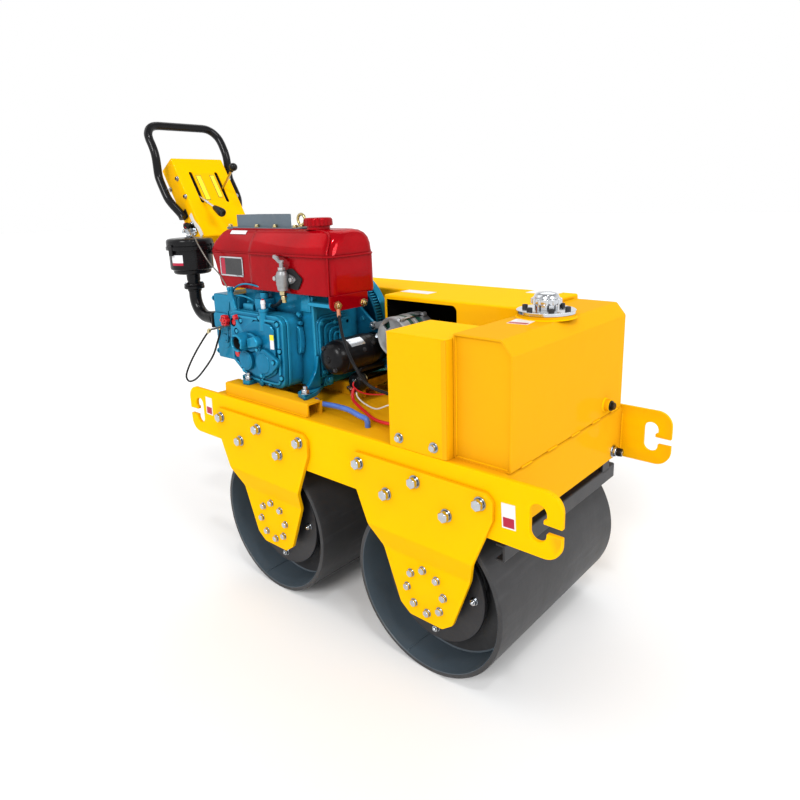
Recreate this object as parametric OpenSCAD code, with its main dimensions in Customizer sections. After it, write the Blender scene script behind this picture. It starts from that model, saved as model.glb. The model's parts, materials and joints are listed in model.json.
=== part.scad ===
// Walk-behind double drum roller with a water-cooled single-cylinder diesel.
// +X is forward, +Y is the roller's left side, +Z is up, and the ground is Z = 0.

/* [Drums] */
// Outer diameter of each drum
drum_d = 426; // [380:1:480]
// Width of each drum
drum_w = 558; // [500:2:640]
// Thickness of the drum shell
drum_wall = 12; // [8:1:16]
// Distance between the two drum axles
wheelbase = 564; // [520:2:640]
// How far each bulkhead lies in from the drum's end
bulkhead_in = 92; // [85:1:120]
// Thickness of a bulkhead
bulkhead_t = 12; // [8:1:16]
// Radius of the spindle that a drum turns on
spindle_r = 35; // [28:1:42]
// Radial running clearance of a drum on its spindle
run_fit = 0.05; // [0.03:0.01:0.09]

/* [Frame] */
// Gap between a drum's end and the frame's side plate
side_gap = 6; // [5:1:12]
// Thickness of the side plates, which carry the tie-down hooks
side_t = 10; // [8:1:12]
// Height of the deck above the ground
deck_z = 567; // [540:1:600]
// Depth of the frame below the deck
frame_h = 143; // [120:1:150]
// Thickness of the deck sheet
deck_t = 8; // [5:1:10]
// How far the deck's end faces lie beyond the drum axles
deck_over = 221; // [218:1:250]
// How far the hooks reach beyond the deck's end faces
hook_reach = 131; // [120:1:160]
// Thickness of a leg plate
leg_t = 10; // [8:1:12]
// How far a leg plate steps in towards its drum
leg_step = 28; // [26:1:30]

/* [Engine] */
// Width of the crankcase
case_w = 177; // [165:1:195]
// Radius of the flywheel
wheel_r = 165; // [140:1:170]
// Width of the flywheel, its ring gear included
wheel_w = 46; // [40:1:52]
// Length of the fuel tank
tank_l = 505; // [460:5:520]
// Height of the fuel tank
tank_h = 168; // [150:1:190]

/* [Body] */
// Height of the hydraulic tank
oil_tank_h = 273; // [240:1:300]
// Length of the hydraulic tank
oil_tank_l = 141; // [120:1:160]
// Width of the hydraulic tank
oil_tank_w = 538; // [480:2:560]
// Height of the belt guard
guard_h = 283; // [250:1:300]
// Length of the battery box
battery_l = 166; // [150:1:170]

/* [Handle] */
// Angle of the handle above the ground as parked
handle_lean = 58.5; // [50:0.5:75]
// Width of the control console
console_w = 198; // [180:2:220]
// Diameter of the handlebar tube
bar_d = 27; // [22:1:32]

/* [Hidden] */
$fn = 48;
soft_gap = 0.3;
x_front = wheelbase / 2 + deck_over + hook_reach;
shell_r = drum_d / 2 - drum_wall;
axle_z = drum_d / 2;
side_y = drum_w / 2 + side_gap + side_t;
inner_y = side_y - side_t;
leg_y = side_y + leg_t;
deck_x = wheelbase / 2 + deck_over;
deck_under = deck_z - deck_t;
frame_low = deck_z - frame_h;

// The handle leans back about its pivot; u runs up the handle and v out of its face.
pivot_x = -(deck_x + 37);
pivot_z = deck_z - 21;
bar_top_u = 946;
bar_top_v = 30;
bar_rear = pivot_x - bar_top_u * cos(handle_lean) + bar_top_v * sin(handle_lean) - bar_d / 2;
mid_x = -(x_front + bar_rear) / 2;

// Bolt places on a leg: x from the axle, drop below the deck
LEG_BOLTS = [[-173, 64], [0, 64], [173, 64], [-86.6, 118], [86.6, 118]];
// A leg starts to step in this far below the top of its drum's bore
leg_in = 64;
// It has stepped in fully this far above the hub bolts' circle
leg_over_hub = 20.5;
HUB_BOLTS = 8;
hub_pcd = 109;
// Leg outline, half of it, from the top: x from the axle, z
LEG_HALF = [[203, deck_z - 96], [152, axle_z + shell_r - leg_in],
    [128, axle_z + hub_pcd / 2 + leg_over_hub], [78, axle_z - 58], [48, axle_z - 80]];
leg_top = 39;
disc_r = 140;
disc_t = 12;
BUFFERS = 6;
buffer_ring = 115;
buffer_r = 24;
buffer_t = 30;
disc_y = leg_y - leg_step - leg_t;
housing_y = disc_y - disc_t - buffer_t;
hub_y = drum_w / 2 - bulkhead_in;

rail_w = 50;
rail_h = 36;
rail_l = 360;
rail_x = -455;
rail_y = [-(side_y - 15), -70];
seat_z = deck_z + rail_h;
crank_x = -273;
crank_z = deck_z + 184;
case_y = -172;
case_x = -470;
case_l = 297;
wheel_y = case_y + case_w + 14;
tank_x = -575;
tank_y = -205;
tank_w = 175;
tank_z = deck_z + 301;
oil_x = deck_x + 2 - oil_tank_l;
oil_z = deck_z;
guard_y = 15;
guard_x = [-500, oil_x - 1];
guard_w = side_y - guard_y;
battery_x = oil_x - 1 - battery_l;
battery_w = 160;
battery_h = 263;

// Moves from the middle of the wheelbase to the part's own origin
module at() { translate([mid_x, 0, 0]) children(); }

// Raises an X-Z outline into a plate of thickness t whose face of greatest Y is at y
module wall_xz(y, t) { translate([0, y, 0]) rotate([90, 0, 0]) linear_extrude(t) children(); }

// A round bar along Y from y0 to y1
module bar_y(x, z, y0, y1, r) {
    translate([x, y1, z]) rotate([90, 0, 0]) cylinder(h = y1 - y0, r = r);
}

// A rectangle from a to b with rounded corners, all of them arcs
module round_rect(a, b, r) {
    translate([a[0] + r, a[1]]) square([b[0] - a[0] - 2 * r, b[1] - a[1]]);
    translate([a[0], a[1] + r]) square([b[0] - a[0], b[1] - a[1] - 2 * r]);
    for (x = [a[0] + r, b[0] - r], z = [a[1] + r, b[1] - r]) translate([x, z]) circle(r);
}

// Points along a smooth curve through pts, n steps from each point to the next
function bend(a, b, c, d, t) = 0.5 * (2 * b + (c - a) * t + (2 * a - 5 * b + 4 * c - d) * t * t
    + (3 * b - a - 3 * c + d) * t * t * t);
function smooth(pts, n) = let (m = len(pts) - 1) concat(
    [for (i = [0 : m - 1], k = [0 : n - 1])
        bend(pts[max(i - 1, 0)], pts[i], pts[i + 1], pts[min(i + 2, m)], k / n)],
    [pts[m]]);
function unit(v) = v / norm(v);
function along(p, i) = unit(p[min(i + 1, len(p) - 1)] - p[max(i - 1, 0)]);
function carried(n, t) = unit(n - (n * t) * t);
function normals(p, n, i = 0) = i == len(p) ? []
    : let (m = carried(n, along(p, i))) concat([m], normals(p, m, i + 1));

// A tube of diameter d through the points of path
module tube(path, d, sides) {
    start = abs(along(path, 0)[2]) > 0.8 ? [1, 0, 0] : [0, 0, 1];
    n = normals(path, start);
    last = len(path) - 1;
    rings = [for (i = [0 : last]) let (t = along(path, i), b = cross(t, n[i]))
        for (k = [0 : sides - 1]) path[i] + d / 2 * (cos(k * 360 / sides) * n[i] + sin(k * 360 / sides) * b)];
    walls = [for (i = [0 : last - 1], k = [0 : sides - 1])
        let (q = (k + 1) % sides) [i * sides + k, (i + 1) * sides + k, (i + 1) * sides + q, i * sides + q]];
    ends = [[for (k = [0 : sides - 1]) k], [for (k = [sides - 1 : -1 : 0]) last * sides + k]];
    polyhedron(rings, concat(walls, ends));
}

// ---- Frame ----

// The outline of a side plate: a long bar with a C-shaped tie-down hook at each end
hook_slot_w = 37;
hook_slot = [deck_z - 111, deck_z - 32];
hook_mouth = [deck_z - 88, deck_z - 71];
hook_tip = 33;
module side_outline() {
    r = hook_slot_w / 2;
    slot_x = x_front - hook_tip - r;
    difference() {
        round_rect([-x_front, frame_low], [x_front, deck_z], 38);
        for (s = [-1, 1]) {
            translate([s * slot_x, hook_slot[0] + r]) circle(r);
            translate([s * slot_x, hook_slot[1] - r]) circle(r);
            translate([s * slot_x - r, hook_slot[0] + r]) square([2 * r, hook_slot[1] - hook_slot[0] - 2 * r]);
            translate([s > 0 ? slot_x : -x_front - 1, hook_mouth[0]])
                square([x_front - slot_x + 1, hook_mouth[1] - hook_mouth[0]]);
        }
    }
}

module leg_holes(y, t, r) {
    for (s = [-1, 1], b = LEG_BOLTS)
        bar_y(s * wheelbase / 2 + b[0], deck_z - b[1], y - t - 1, y + 1, r);
}

bolt_r = 8;
hole_r = 8.5;

edge_r = 8;
module side_plate(side) {
    y = side > 0 ? side_y : -inner_y;
    color("gold") at() difference() {
        wall_xz(y, side_t) side_outline();
        leg_holes(y, side_t, hole_r);
        // Rounding along the top edge, where the sheet is bent
        translate([-deck_x, side * side_y, deck_z]) mirror([0, side < 0 ? 1 : 0, 0])
            rotate([90, 0, 90]) linear_extrude(2 * deck_x) difference() {
                translate([-edge_r, -edge_r]) square(edge_r + 1);
                translate([-edge_r, -edge_r]) circle(edge_r);
            }
    }
}
module right_side_plate() { side_plate(-1); }
module left_side_plate() { side_plate(1); }

// Deck and end faces, bent from one sheet, with stiffening channels across the underside
deck_bend = 14;
module deck() {
    low = frame_low + 9;
    color("gold") at() difference() {
        wall_xz(inner_y, 2 * inner_y) difference() {
            union() {
                round_rect([-deck_x, deck_z - 3 * deck_bend], [deck_x, deck_z], deck_bend);
                translate([-deck_x, low]) square([2 * deck_x, deck_z - 2 * deck_bend - low]);
            }
            translate([-deck_x + deck_t, low - 1])
                square([2 * (deck_x - deck_t), deck_under - low + 1]);
        }
    }
}

// A leg: a plate with a tapered outline that steps in towards the drum
module leg(sx, sy) {
    half = LEG_HALF;
    m = len(half) - 1;
    left = [for (i = [m : -1 : 0]) [-half[i][0], half[i][1]]];
    corner = 16;
    top = deck_z - leg_top;
    step_z = [half[1][1], half[2][1]];
    out = leg_y;
    in = leg_y - leg_step;
    translate([sx * wheelbase / 2, 0, 0]) mirror([0, sy < 0 ? 1 : 0, 0]) intersection() {
        wall_xz(leg_y + 1, leg_step + leg_t + 2) {
            polygon(concat(half, left));
            translate([-203, half[0][1] - 1]) square([406, top - corner - half[0][1] + 1]);
            translate([-203 + corner, half[0][1]]) square([406 - 2 * corner, top - half[0][1]]);
            for (s = [-1, 1]) translate([s * (203 - corner), top - corner]) circle(corner);
        }
        translate([-210, 0, 0]) rotate([90, 0, 90]) linear_extrude(420) polygon([
            [out, top + 1], [out, step_z[0]], [in, step_z[1]], [in, axle_z - 113],
            [in - leg_t, axle_z - 113], [in - leg_t, step_z[1] - 2], [out - leg_t, step_z[0] - 2], [out - leg_t, top + 1]]);
    }
}
module legs(sx) {
    color("gold") at() difference() {
        union() { leg(sx, -1); leg(sx, 1); }
        leg_holes(leg_y, 2 * leg_y, hole_r);
        hub_holes(sx, leg_y, 2 * leg_y, 5.5);
    }
}
module front_legs() { legs(1); }
module rear_legs() { legs(-1); }

module hub_holes(sx, y, t, r) {
    for (i = [0 : HUB_BOLTS - 1]) let (a = i * 360 / HUB_BOLTS + 6)
        bar_y(sx * wheelbase / 2 + hub_pcd / 2 * cos(a), axle_z + hub_pcd / 2 * sin(a), y - t, y, r);
}

// Bolts through a leg and its side plate, each with a washer and a nut
module leg_bolts() {
    color("silver") at() for (s = [-1, 1], e = [-1, 1], b = LEG_BOLTS)
        translate([e * wheelbase / 2 + b[0], 0, deck_z - b[1]]) mirror([0, s < 0 ? 1 : 0, 0]) {
            bar_y(0, 0, inner_y - 3, leg_y + 3, bolt_r);
            bar_y(0, 0, leg_y, leg_y + 3, 15);
            translate([0, leg_y + 13, 0]) rotate([90, 0, 0]) cylinder(h = 10, r = 13.8, $fn = 6);
            translate([0, inner_y, 0]) rotate([90, 0, 0]) cylinder(h = 4.5, r = 13.8, $fn = 6);
        }
}

module hub_bolts() {
    color("silver") at() for (s = [-1, 1], e = [-1, 1], i = [0 : HUB_BOLTS - 1]) {
        a = i * 360 / HUB_BOLTS + 6;
        face = leg_y - leg_step;
        translate([e * wheelbase / 2 + hub_pcd / 2 * cos(a), 0, axle_z + hub_pcd / 2 * sin(a)])
            mirror([0, s < 0 ? 1 : 0, 0]) {
                bar_y(0, 0, disc_y - disc_t, face + 1, 5);
                translate([0, face + 7, 0]) rotate([90, 0, 0]) cylinder(h = 7, r = 9.8, $fn = 6);
            }
    }
}

// ---- What carries the drums ----

module each_end() {
    at() for (e = [-1, 1], s = [-1, 1])
        translate([e * wheelbase / 2, 0, axle_z]) mirror([0, s < 0 ? 1 : 0, 0]) children();
}
module bearing_discs() {
    color("dimgray") each_end() difference() {
        bar_y(0, 0, disc_y - disc_t, disc_y, disc_r);
        for (i = [0 : HUB_BOLTS - 1]) let (a = i * 360 / HUB_BOLTS + 6)
            bar_y(hub_pcd / 2 * cos(a), hub_pcd / 2 * sin(a), disc_y - disc_t - 1, disc_y + 1, 5.5);
    }
}
module rubber_buffers() {
    color("black") each_end() for (i = [0 : BUFFERS - 1]) let (a = i * 360 / BUFFERS + 12)
        bar_y(buffer_ring * cos(a), buffer_ring * sin(a), housing_y, disc_y - disc_t, buffer_r);
}
module bearing_housings() {
    color("dimgray") each_end() {
        bar_y(0, 0, housing_y - disc_t, housing_y, disc_r);
        bar_y(0, 0, hub_y - bulkhead_t - 30, housing_y - disc_t, spindle_r);
    }
}

// ---- Drums ----

module drum_shell(sx) {
    color("dimgray") at() translate([sx * wheelbase / 2, drum_w / 2, axle_z]) rotate([90, 0, 0])
        rotate_extrude($fn = 128) polygon([
            [shell_r, 0], [drum_d / 2 - 4, 0], [drum_d / 2, 4], [drum_d / 2, drum_w - 4],
            [drum_d / 2 - 4, drum_w], [shell_r, drum_w]]);
}
module drum_bulkheads(sx) {
    color("slategray") at() for (s = [-1, 1])
        translate([sx * wheelbase / 2, 0, axle_z]) mirror([0, s < 0 ? 1 : 0, 0]) difference() {
            union() {
                bar_y(0, 0, hub_y - bulkhead_t, hub_y, shell_r - soft_gap);
                bar_y(0, 0, hub_y - bulkhead_t - 40, hub_y + 10, spindle_r + 30);
            }
            bar_y(0, 0, hub_y - bulkhead_t - 41, hub_y + 11, spindle_r + run_fit);
        }
}
module front_drum_shell() { drum_shell(1); }
module rear_drum_shell() { drum_shell(-1); }
module front_drum_bulkheads() { drum_bulkheads(1); }
module rear_drum_bulkheads() { drum_bulkheads(-1); }

// Scraper bars hung from the frame ahead of the front drum and behind the rear one
scraper_d = 22;
scraper_h = 40;
scraper_drop = 28;
scraper_t = 5;
module scrapers() {
    top = frame_low + 9;
    color("dimgray") at() for (e = [0, 1]) mirror([e, 0, 0]) {
        x = deck_x - 8;
        difference() {
            translate([x - scraper_d, -inner_y + 12, top - scraper_drop - scraper_h])
                cube([scraper_d, 2 * inner_y - 24, scraper_h]);
            translate([x - scraper_d - scraper_t, -inner_y + 11, top - scraper_drop - scraper_h + scraper_t])
                cube([scraper_d, 2 * inner_y - 22, scraper_h - 2 * scraper_t]);
        }
        for (y = [-220, 220])
            translate([x - 6, y - 20, top - scraper_drop]) cube([6, 40, 40 + scraper_drop]);
    }
}

// ---- Engine ----

module engine_rails() {
    t = 5;
    color("gold") at() for (y = rail_y)
        translate([rail_x, y, deck_z]) rotate([90, 0, 90]) linear_extrude(rail_l) difference() {
            square([rail_w, rail_h]);
            translate([t, -1]) square([rail_w - 2 * t, rail_h + 1 - t]);
        }
}

foot_t = 14;
plate_y = 0;
plate_t = 10;
nose_r = 34;
start_x = -92;
start_z = deck_z + 138;
starter_r = 47;
starter_y = -200;
journal_r = 24;
case_top = tank_z - 2;
gear_y = -245;
cover_t = 22;
// Outline of the gear housing and its cover: x, height above the deck
COVER = [[-225, 218], [-229, 229], [-238, 238], [-252, 243], [-440, 243], [-458, 236], [-465, 222], [-465, 96],
    [-432, 72], [-402, 52], [-366, 39], [-258, 39], [-242, 44], [-234, 54], [-231, 68]];
module cover_outline() { polygon([for (p = COVER) [p[0], deck_z + p[1]]]); }

// An upright arch from a to b with rounded upper corners
module arch(a, b, r) {
    translate(a) square([b[0] - a[0], b[1] - a[1] - r]);
    translate([a[0] + r, a[1]]) square([b[0] - a[0] - 2 * r, b[1] - a[1]]);
    for (x = [a[0] + r, b[0] - r]) translate([x, b[1] - r]) circle(r);
}
// Ribs of the front cover: near side, far side and height of each arch
RIBS = [[-164, -48, 232], [-146, -60, 218], [-128, -72, 204], [-110, -84, 190]];
module crankcase() {
    low = seat_z + 3;
    front = case_x + case_l;
    color("steelblue") at() {
        difference() {
            union() {
                translate([case_x, case_y, low]) cube([case_l, case_w, case_top - low]);
                // Gear housing, with the injection pump on top of it
                wall_xz(case_y, case_y - gear_y - cover_t) cover_outline();
                translate([-376, case_y - 40, deck_z + 242]) cube([44, 41, 36]);
            }
            bar_y(crank_x, crank_z, case_y + case_w - 30, case_y + case_w + 1, journal_r + run_fit);
        }
        // Ribbed cover on the front of the crankcase
        translate([front, 0, deck_z]) rotate([90, 0, 90]) {
            linear_extrude(6) arch([-168, 66], [-44, 238], 30);
            for (r = RIBS) linear_extrude(12) difference() {
                arch([r[0], 70], [r[1], r[2]], 24);
                arch([r[0] + 6, 60], [r[1] - 6, r[2] - 6], 18);
            }
        }
        translate([front, -134, deck_z + 56]) rotate([0, 90, 0]) cylinder(h = 8, r = 15);
        // Plate that carries the starter and the alternator
        difference() {
            wall_xz(plate_y, plate_t) polygon([[front - 1, seat_z + 30], [front + 110, seat_z + 30],
                [front + 133, seat_z + 56], [front + 133, seat_z + 118], [front + 81, seat_z + 180],
                [front + 14, seat_z + 208], [front - 1, seat_z + 222]]);
            bar_y(start_x, start_z, plate_y - plate_t - 1, plate_y + 1, nose_r + soft_gap);
        }
        // Two stays forward to the tank's bracket
        for (y = [-190, -96]) translate([front - 1, y, deck_z + 270]) cube([98, 24, 12]);
        // Feet on the rails, the near ones flared outwards
        for (f = FEET) translate([0, 0, seat_z]) linear_extrude(foot_t) polygon(f);
        for (x = [case_x + 18, front - 52])
            translate([x, rail_y[1] - 5, seat_z]) cube([34, 60, foot_t]);
    }
}
FEET = [[[-225, -160], [-190, -225], [-165, -265], [-115, -265], [-115, -228], [-150, -190], [-176, -150]],
    [[-450, -160], [-446, -265], [-406, -265], [-400, -160]]];

dog_x = -378;
dog_z = deck_z + 162;
dog_r = 17;
// Bolts round the rim of the gear cover: x, height above the deck
RIM_BOLTS = [[-244, 222], [-242, 148], [-242, 72], [-326, 52], [-412, 71], [-430, 184], [-319, 234], [-406, 217]];
module gear_cover() {
    color("steelblue") at() {
        difference() {
            union() {
                wall_xz(gear_y + cover_t, cover_t) cover_outline();
                wall_xz(gear_y + 1, 7) polygon([[-340, deck_z + 223], [-268, deck_z + 218], [-258, deck_z + 130],
                    [-256, deck_z + 84], [-300, deck_z + 62], [-362, deck_z + 64], [-414, deck_z + 104],
                    [-412, deck_z + 165], [-378, deck_z + 198]]);
                // Sleeve for the starting handle, and a round cap beside it
                bar_y(dog_x, dog_z, gear_y - 40, gear_y, 24);
                bar_y(-378, deck_z + 108, gear_y - 15, gear_y, 30);
                // Round cover with a lug
                bar_y(-297, deck_z + 110, gear_y - 15, gear_y, 37);
                wall_xz(gear_y, 12) polygon([[-297, deck_z + 146], [-240, deck_z + 123], [-238, deck_z + 114],
                    [-272, deck_z + 84]]);
                // Neck for the dipstick
                translate([-305, gear_y + 9, deck_z + 205]) cylinder(h = 54, r = 12);
                // Post of the throttle arm
                wall_xz(gear_y + cover_t, 8) polygon([[-465, deck_z + 225], [-440, deck_z + 225],
                    [-455, deck_z + 278], [-462, deck_z + 308], [-474, deck_z + 308], [-478, deck_z + 280]]);
            }
            bar_y(dog_x, dog_z, gear_y - 41, gear_y + 5, dog_r);
            for (b = RIM_BOLTS) bar_y(b[0], deck_z + b[1], gear_y - 1, gear_y + 8, 9);
        }
    }
}

head_l = 130;
head_w = 155;
head_y = -200;
module cylinder_head() {
    color("steelblue") at() {
        translate([case_x - head_l, head_y, seat_z + 40]) cube([head_l, head_w, 200]);
        translate([case_x - head_l - 35, head_y + 50, seat_z + 90]) cube([35, head_w - 60, 130]);
    }
}

seam_z = 101;
seam_t = 5;
seam_out = 8;
module tank_side() {
    r = 34;
    x1 = tank_x + tank_l;
    top = tank_z + tank_h;
    polygon([[tank_x + 35, tank_z], [x1, tank_z], [x1, top - r], [x1 - 5, top - 12], [x1 - 14, top],
        [tank_x + r, top], [tank_x, top - r]]);
}
// Across the tank: the near shoulder slopes in above the seam
module tank_across() {
    far = tank_y + tank_w;
    top = tank_z + tank_h;
    polygon([[tank_y, tank_z], [far, tank_z], [far, top - 30], [far - 9, top - 9], [far - 30, top],
        [tank_y + 33, top], [tank_y, tank_z + seam_z + 4]]);
}
bracket_x = tank_x + tank_l - 6;
module fuel_tank() {
    far = tank_y + tank_w;
    color("firebrick") at() {
        intersection() {
            wall_xz(far, tank_w) tank_side();
            translate([tank_x, 0, 0]) rotate([90, 0, 90]) linear_extrude(tank_l) tank_across();
        }
        // Flange of the seam, along the near side and the ends
        translate([0, 0, tank_z + seam_z]) linear_extrude(seam_t)
            round_rect([tank_x - seam_out, tank_y - seam_out], [tank_x + tank_l + seam_out, far - 4], 12);
        // Bracket below the front end
        translate([bracket_x, tank_y + 8, tank_z - 36]) cube([6, 131, 37]);
    }
}

cap_x = -172;
cap_y = -137;
module fuel_cap() {
    color("firebrick") at() translate([cap_x, cap_y, tank_z + tank_h]) {
        cylinder(h = 9, r = 31);
        translate([0, 0, 9]) cylinder(h = 24, r = 37);
    }
}

neck_x = [-515, -265];
neck_y = [-150, -70];
neck_h = 38;
neck_t = 3;
module hopper_neck() {
    z = tank_z + tank_h;
    a = [neck_x[0], neck_y[0]];
    b = [neck_x[1], neck_y[1]];
    color("slategray") at() difference() {
        union() {
            translate([a[0] - 42, a[1] - 12, z]) cube([b[0] - a[0] + 84, b[1] - a[1] + 24, 6]);
            translate([a[0], a[1], z + 6]) cube([b[0] - a[0], b[1] - a[1], neck_h]);
        }
        translate([a[0] + neck_t, a[1] + neck_t, z - 1])
            cube([b[0] - a[0] - 2 * neck_t, b[1] - a[1] - 2 * neck_t, neck_h + 8]);
    }
}

ring_r = 14;
module lifting_ring() {
    color("goldenrod") at() translate([neck_x[1] + 30, -140, tank_z + tank_h + 6]) {
        cylinder(h = 8, r = 9);
        translate([0, 0, ring_r + 5]) rotate([90, 0, 0]) rotate_extrude() translate([ring_r, 0]) circle(4);
    }
}

module fuel_tap() {
    z = tank_z + 75;
    color("silver") at() {
        bar_y(-225, z, tank_y - 6, tank_y, 19);
        bar_y(-225, z, tank_y - 18, tank_y - 6, 8);
        translate([-225, tank_y - 18, z - 63]) cylinder(h = 82, r = 8);
    }
}

// ---- Intake and exhaust ----

filter_x = -731;
filter_y = -180;
filter_r = 66;
filter_z = deck_z + 328;
pipe_d = 38;
module air_filter() {
    color("black") at() translate([filter_x, filter_y, filter_z]) {
        cylinder(h = 12, r = filter_r - 8);
        translate([0, 0, 12]) cylinder(h = 53, r = filter_r);
        translate([0, 0, 65]) cylinder(h = 38, r = filter_r + 6);
        translate([0, 0, -38]) cylinder(h = 38, r = pipe_d / 2);
        translate([0, 0, -38]) cylinder(h = 5, r = pipe_d / 2 + 12);
    }
}
module intake_pipe() {
    bend_r = 62;
    top = filter_z - 38;
    low = deck_z + 193;
    end = case_x - head_l;
    color("black") at() translate([filter_x, filter_y, 0]) {
        translate([0, 0, low + bend_r]) cylinder(h = top - low - bend_r, r = pipe_d / 2);
        translate([bend_r, 0, low + bend_r]) rotate([90, 0, 0])
            rotate_extrude(angle = 90, start = 180) translate([bend_r, 0]) circle(pipe_d / 2);
        translate([bend_r, 0, low]) rotate([0, 90, 0]) cylinder(h = end - filter_x - bend_r - soft_gap, r = pipe_d / 2);
    }
}
module exhaust_box() {
    x = case_x - 90;
    y = 55;
    color("black") at() {
        translate([x, y, tank_z - 30]) cylinder(h = 130, r = 42);
        translate([x, y, tank_z - 107]) cylinder(h = 77, r = 17);
        bar_y(x, tank_z - 107, head_y + head_w + soft_gap, y + 17, 17);
    }
}

// ---- Electrics and flywheel ----

module starter() {
    seat = plate_y - plate_t;
    color("black") at() {
        bar_y(start_x, start_z, starter_y + 30, seat, starter_r);
        bar_y(start_x, start_z, starter_y, starter_y + 30, starter_r - 6);
        bar_y(start_x, start_z, seat, plate_y + 14, nose_r);
    }
}
solenoid_r = 28;
solenoid_x = 16;
solenoid_drop = 77;
module starter_solenoid() {
    color("goldenrod") at()
        bar_y(start_x + solenoid_x, start_z - solenoid_drop, -130, plate_y - plate_t, solenoid_r);
}
alt_x = 20;
alt_z = deck_z + 188;
alt_r = 54;
alt_y = [-75, 45];
module alternator() {
    lug = [-100, seat_z + 161];
    color("silver") at() {
        bar_y(alt_x, alt_z, alt_y[0], alt_y[1], alt_r);
        bar_y(alt_x, alt_z, alt_y[1], alt_y[1] + 32, 32);
        bar_y(lug[0], lug[1], plate_y - plate_t - 12, plate_y - plate_t, 12);
        wall_xz(plate_y - plate_t, 12) polygon([[lug[0], lug[1] - 8], [alt_x - 40, alt_z + 20], [alt_x - 30, alt_z + 40],
            [lug[0], lug[1] + 8]]);
    }
}
ring_w = 18;
module flywheel() {
    color("steelblue") at() difference() {
        union() {
            bar_y(crank_x, crank_z, wheel_y, wheel_y + ring_w + 1, wheel_r - 5);
            bar_y(crank_x, crank_z, wheel_y + ring_w, wheel_y + wheel_w, wheel_r);
            bar_y(crank_x, crank_z, wheel_y + wheel_w, wheel_y + wheel_w + 60, 60);
            bar_y(crank_x, crank_z, case_y + case_w - 28, wheel_y + 30, journal_r);
        }
        difference() {
            bar_y(crank_x, crank_z, wheel_y - 1, wheel_y + 24, wheel_r - 24);
            bar_y(crank_x, crank_z, wheel_y - 2, wheel_y + 25, 55);
        }
    }
}

// ---- Bodywork ----

guard_t = 3;
// The belt guard stands on the deck over the pulleys, stepped round the flywheel
step_x = -88;
step_y = 120;
guard_open = [-78, 165, 70, 271];
module belt_guard() {
    z = [deck_z, deck_z + guard_h];
    front = [[step_x, guard_y], [guard_x[1], side_y]];
    back = [[guard_x[0], step_y], [step_x + 40, side_y]];
    color("gold") at() difference() {
        union() {
            translate([front[0][0], front[0][1], z[0]]) cube([front[1][0] - front[0][0], front[1][1] - front[0][1], guard_h]);
            translate([back[0][0], back[0][1], z[0]]) cube([back[1][0] - back[0][0], back[1][1] - back[0][1], guard_h]);
        }
        translate([front[0][0] + guard_t, front[0][1] + guard_t, z[0] - 1])
            cube([front[1][0] - front[0][0] - 2 * guard_t, front[1][1] - front[0][1] - 2 * guard_t, guard_h + 1 - guard_t]);
        translate([back[0][0] + guard_t, back[0][1] + guard_t, z[0] - 1])
            cube([back[1][0] - back[0][0] - 2 * guard_t, back[1][1] - back[0][1] - 2 * guard_t, guard_h + 1 - guard_t]);
        // Opening for the alternator
        translate([guard_open[0], guard_y - 1, deck_z + guard_open[2]])
            cube([guard_open[1] - guard_open[0], guard_t + 2, guard_open[3] - guard_open[2]]);
        // Opening for the flywheel's pulley
        bar_y(crank_x, crank_z, step_y - 1, step_y + guard_t + 1, 72);
    }
}

oil_chamfer = [25, 30];
oil_sheet = 4;
oil_inset = 5;
strip_w = 24;
// Outline of the hydraulic tank, drawn in by t
module oil_outline(t) {
    x1 = oil_x + oil_tank_l;
    top = oil_z + oil_tank_h;
    polygon([[oil_x + t, oil_z + 8 + t], [x1 - t, oil_z + 8 + t], [x1 - t, top - oil_chamfer[1] - 0.6 * t],
        [x1 - oil_chamfer[0] - 0.6 * t, top - t], [oil_x + t, top - t]]);
}
module hydraulic_tank() {
    x1 = oil_x + oil_tank_l;
    half = oil_tank_w / 2;
    color("gold") at() difference() {
        wall_xz(half, oil_tank_w) oil_outline(0);
        // The end plates sit in from the wrapper's edges
        for (y = [half + 1, -half + oil_inset]) wall_xz(y, oil_inset + 1) oil_outline(oil_sheet);
    }
    color("gold") at() {
        for (x = [oil_x + 12, x1 - 12 - strip_w])
            translate([x, -oil_tank_w / 2 + 12, oil_z]) cube([strip_w, oil_tank_w - 24, 8]);
        translate([x1, 170, oil_z + 31]) rotate([0, 90, 0]) cylinder(h = 26, r = 15);
    }
}
flange_x = oil_x + 64;
module filler_flange() {
    color("silver") at() translate([flange_x, 0, oil_z + oil_tank_h]) {
        cylinder(h = 9, r = 66);
        translate([0, 0, 9]) cylinder(h = 8, r = 67);
    }
}
module breather_cap() {
    color("silver") at() translate([flange_x, 0, oil_z + oil_tank_h + 17]) {
        cylinder(h = 12, r = 26);
        translate([0, 0, 12]) cylinder(h = 14, r = 32.5);
        translate([0, 0, 26]) cylinder(h = 12, r1 = 32.5, r2 = 20);
    }
}
module battery_box() {
    color("gold") at() translate([battery_x, -side_y + 2, deck_z]) cube([battery_l, battery_w, battery_h]);
}

// ---- Handle ----

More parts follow.
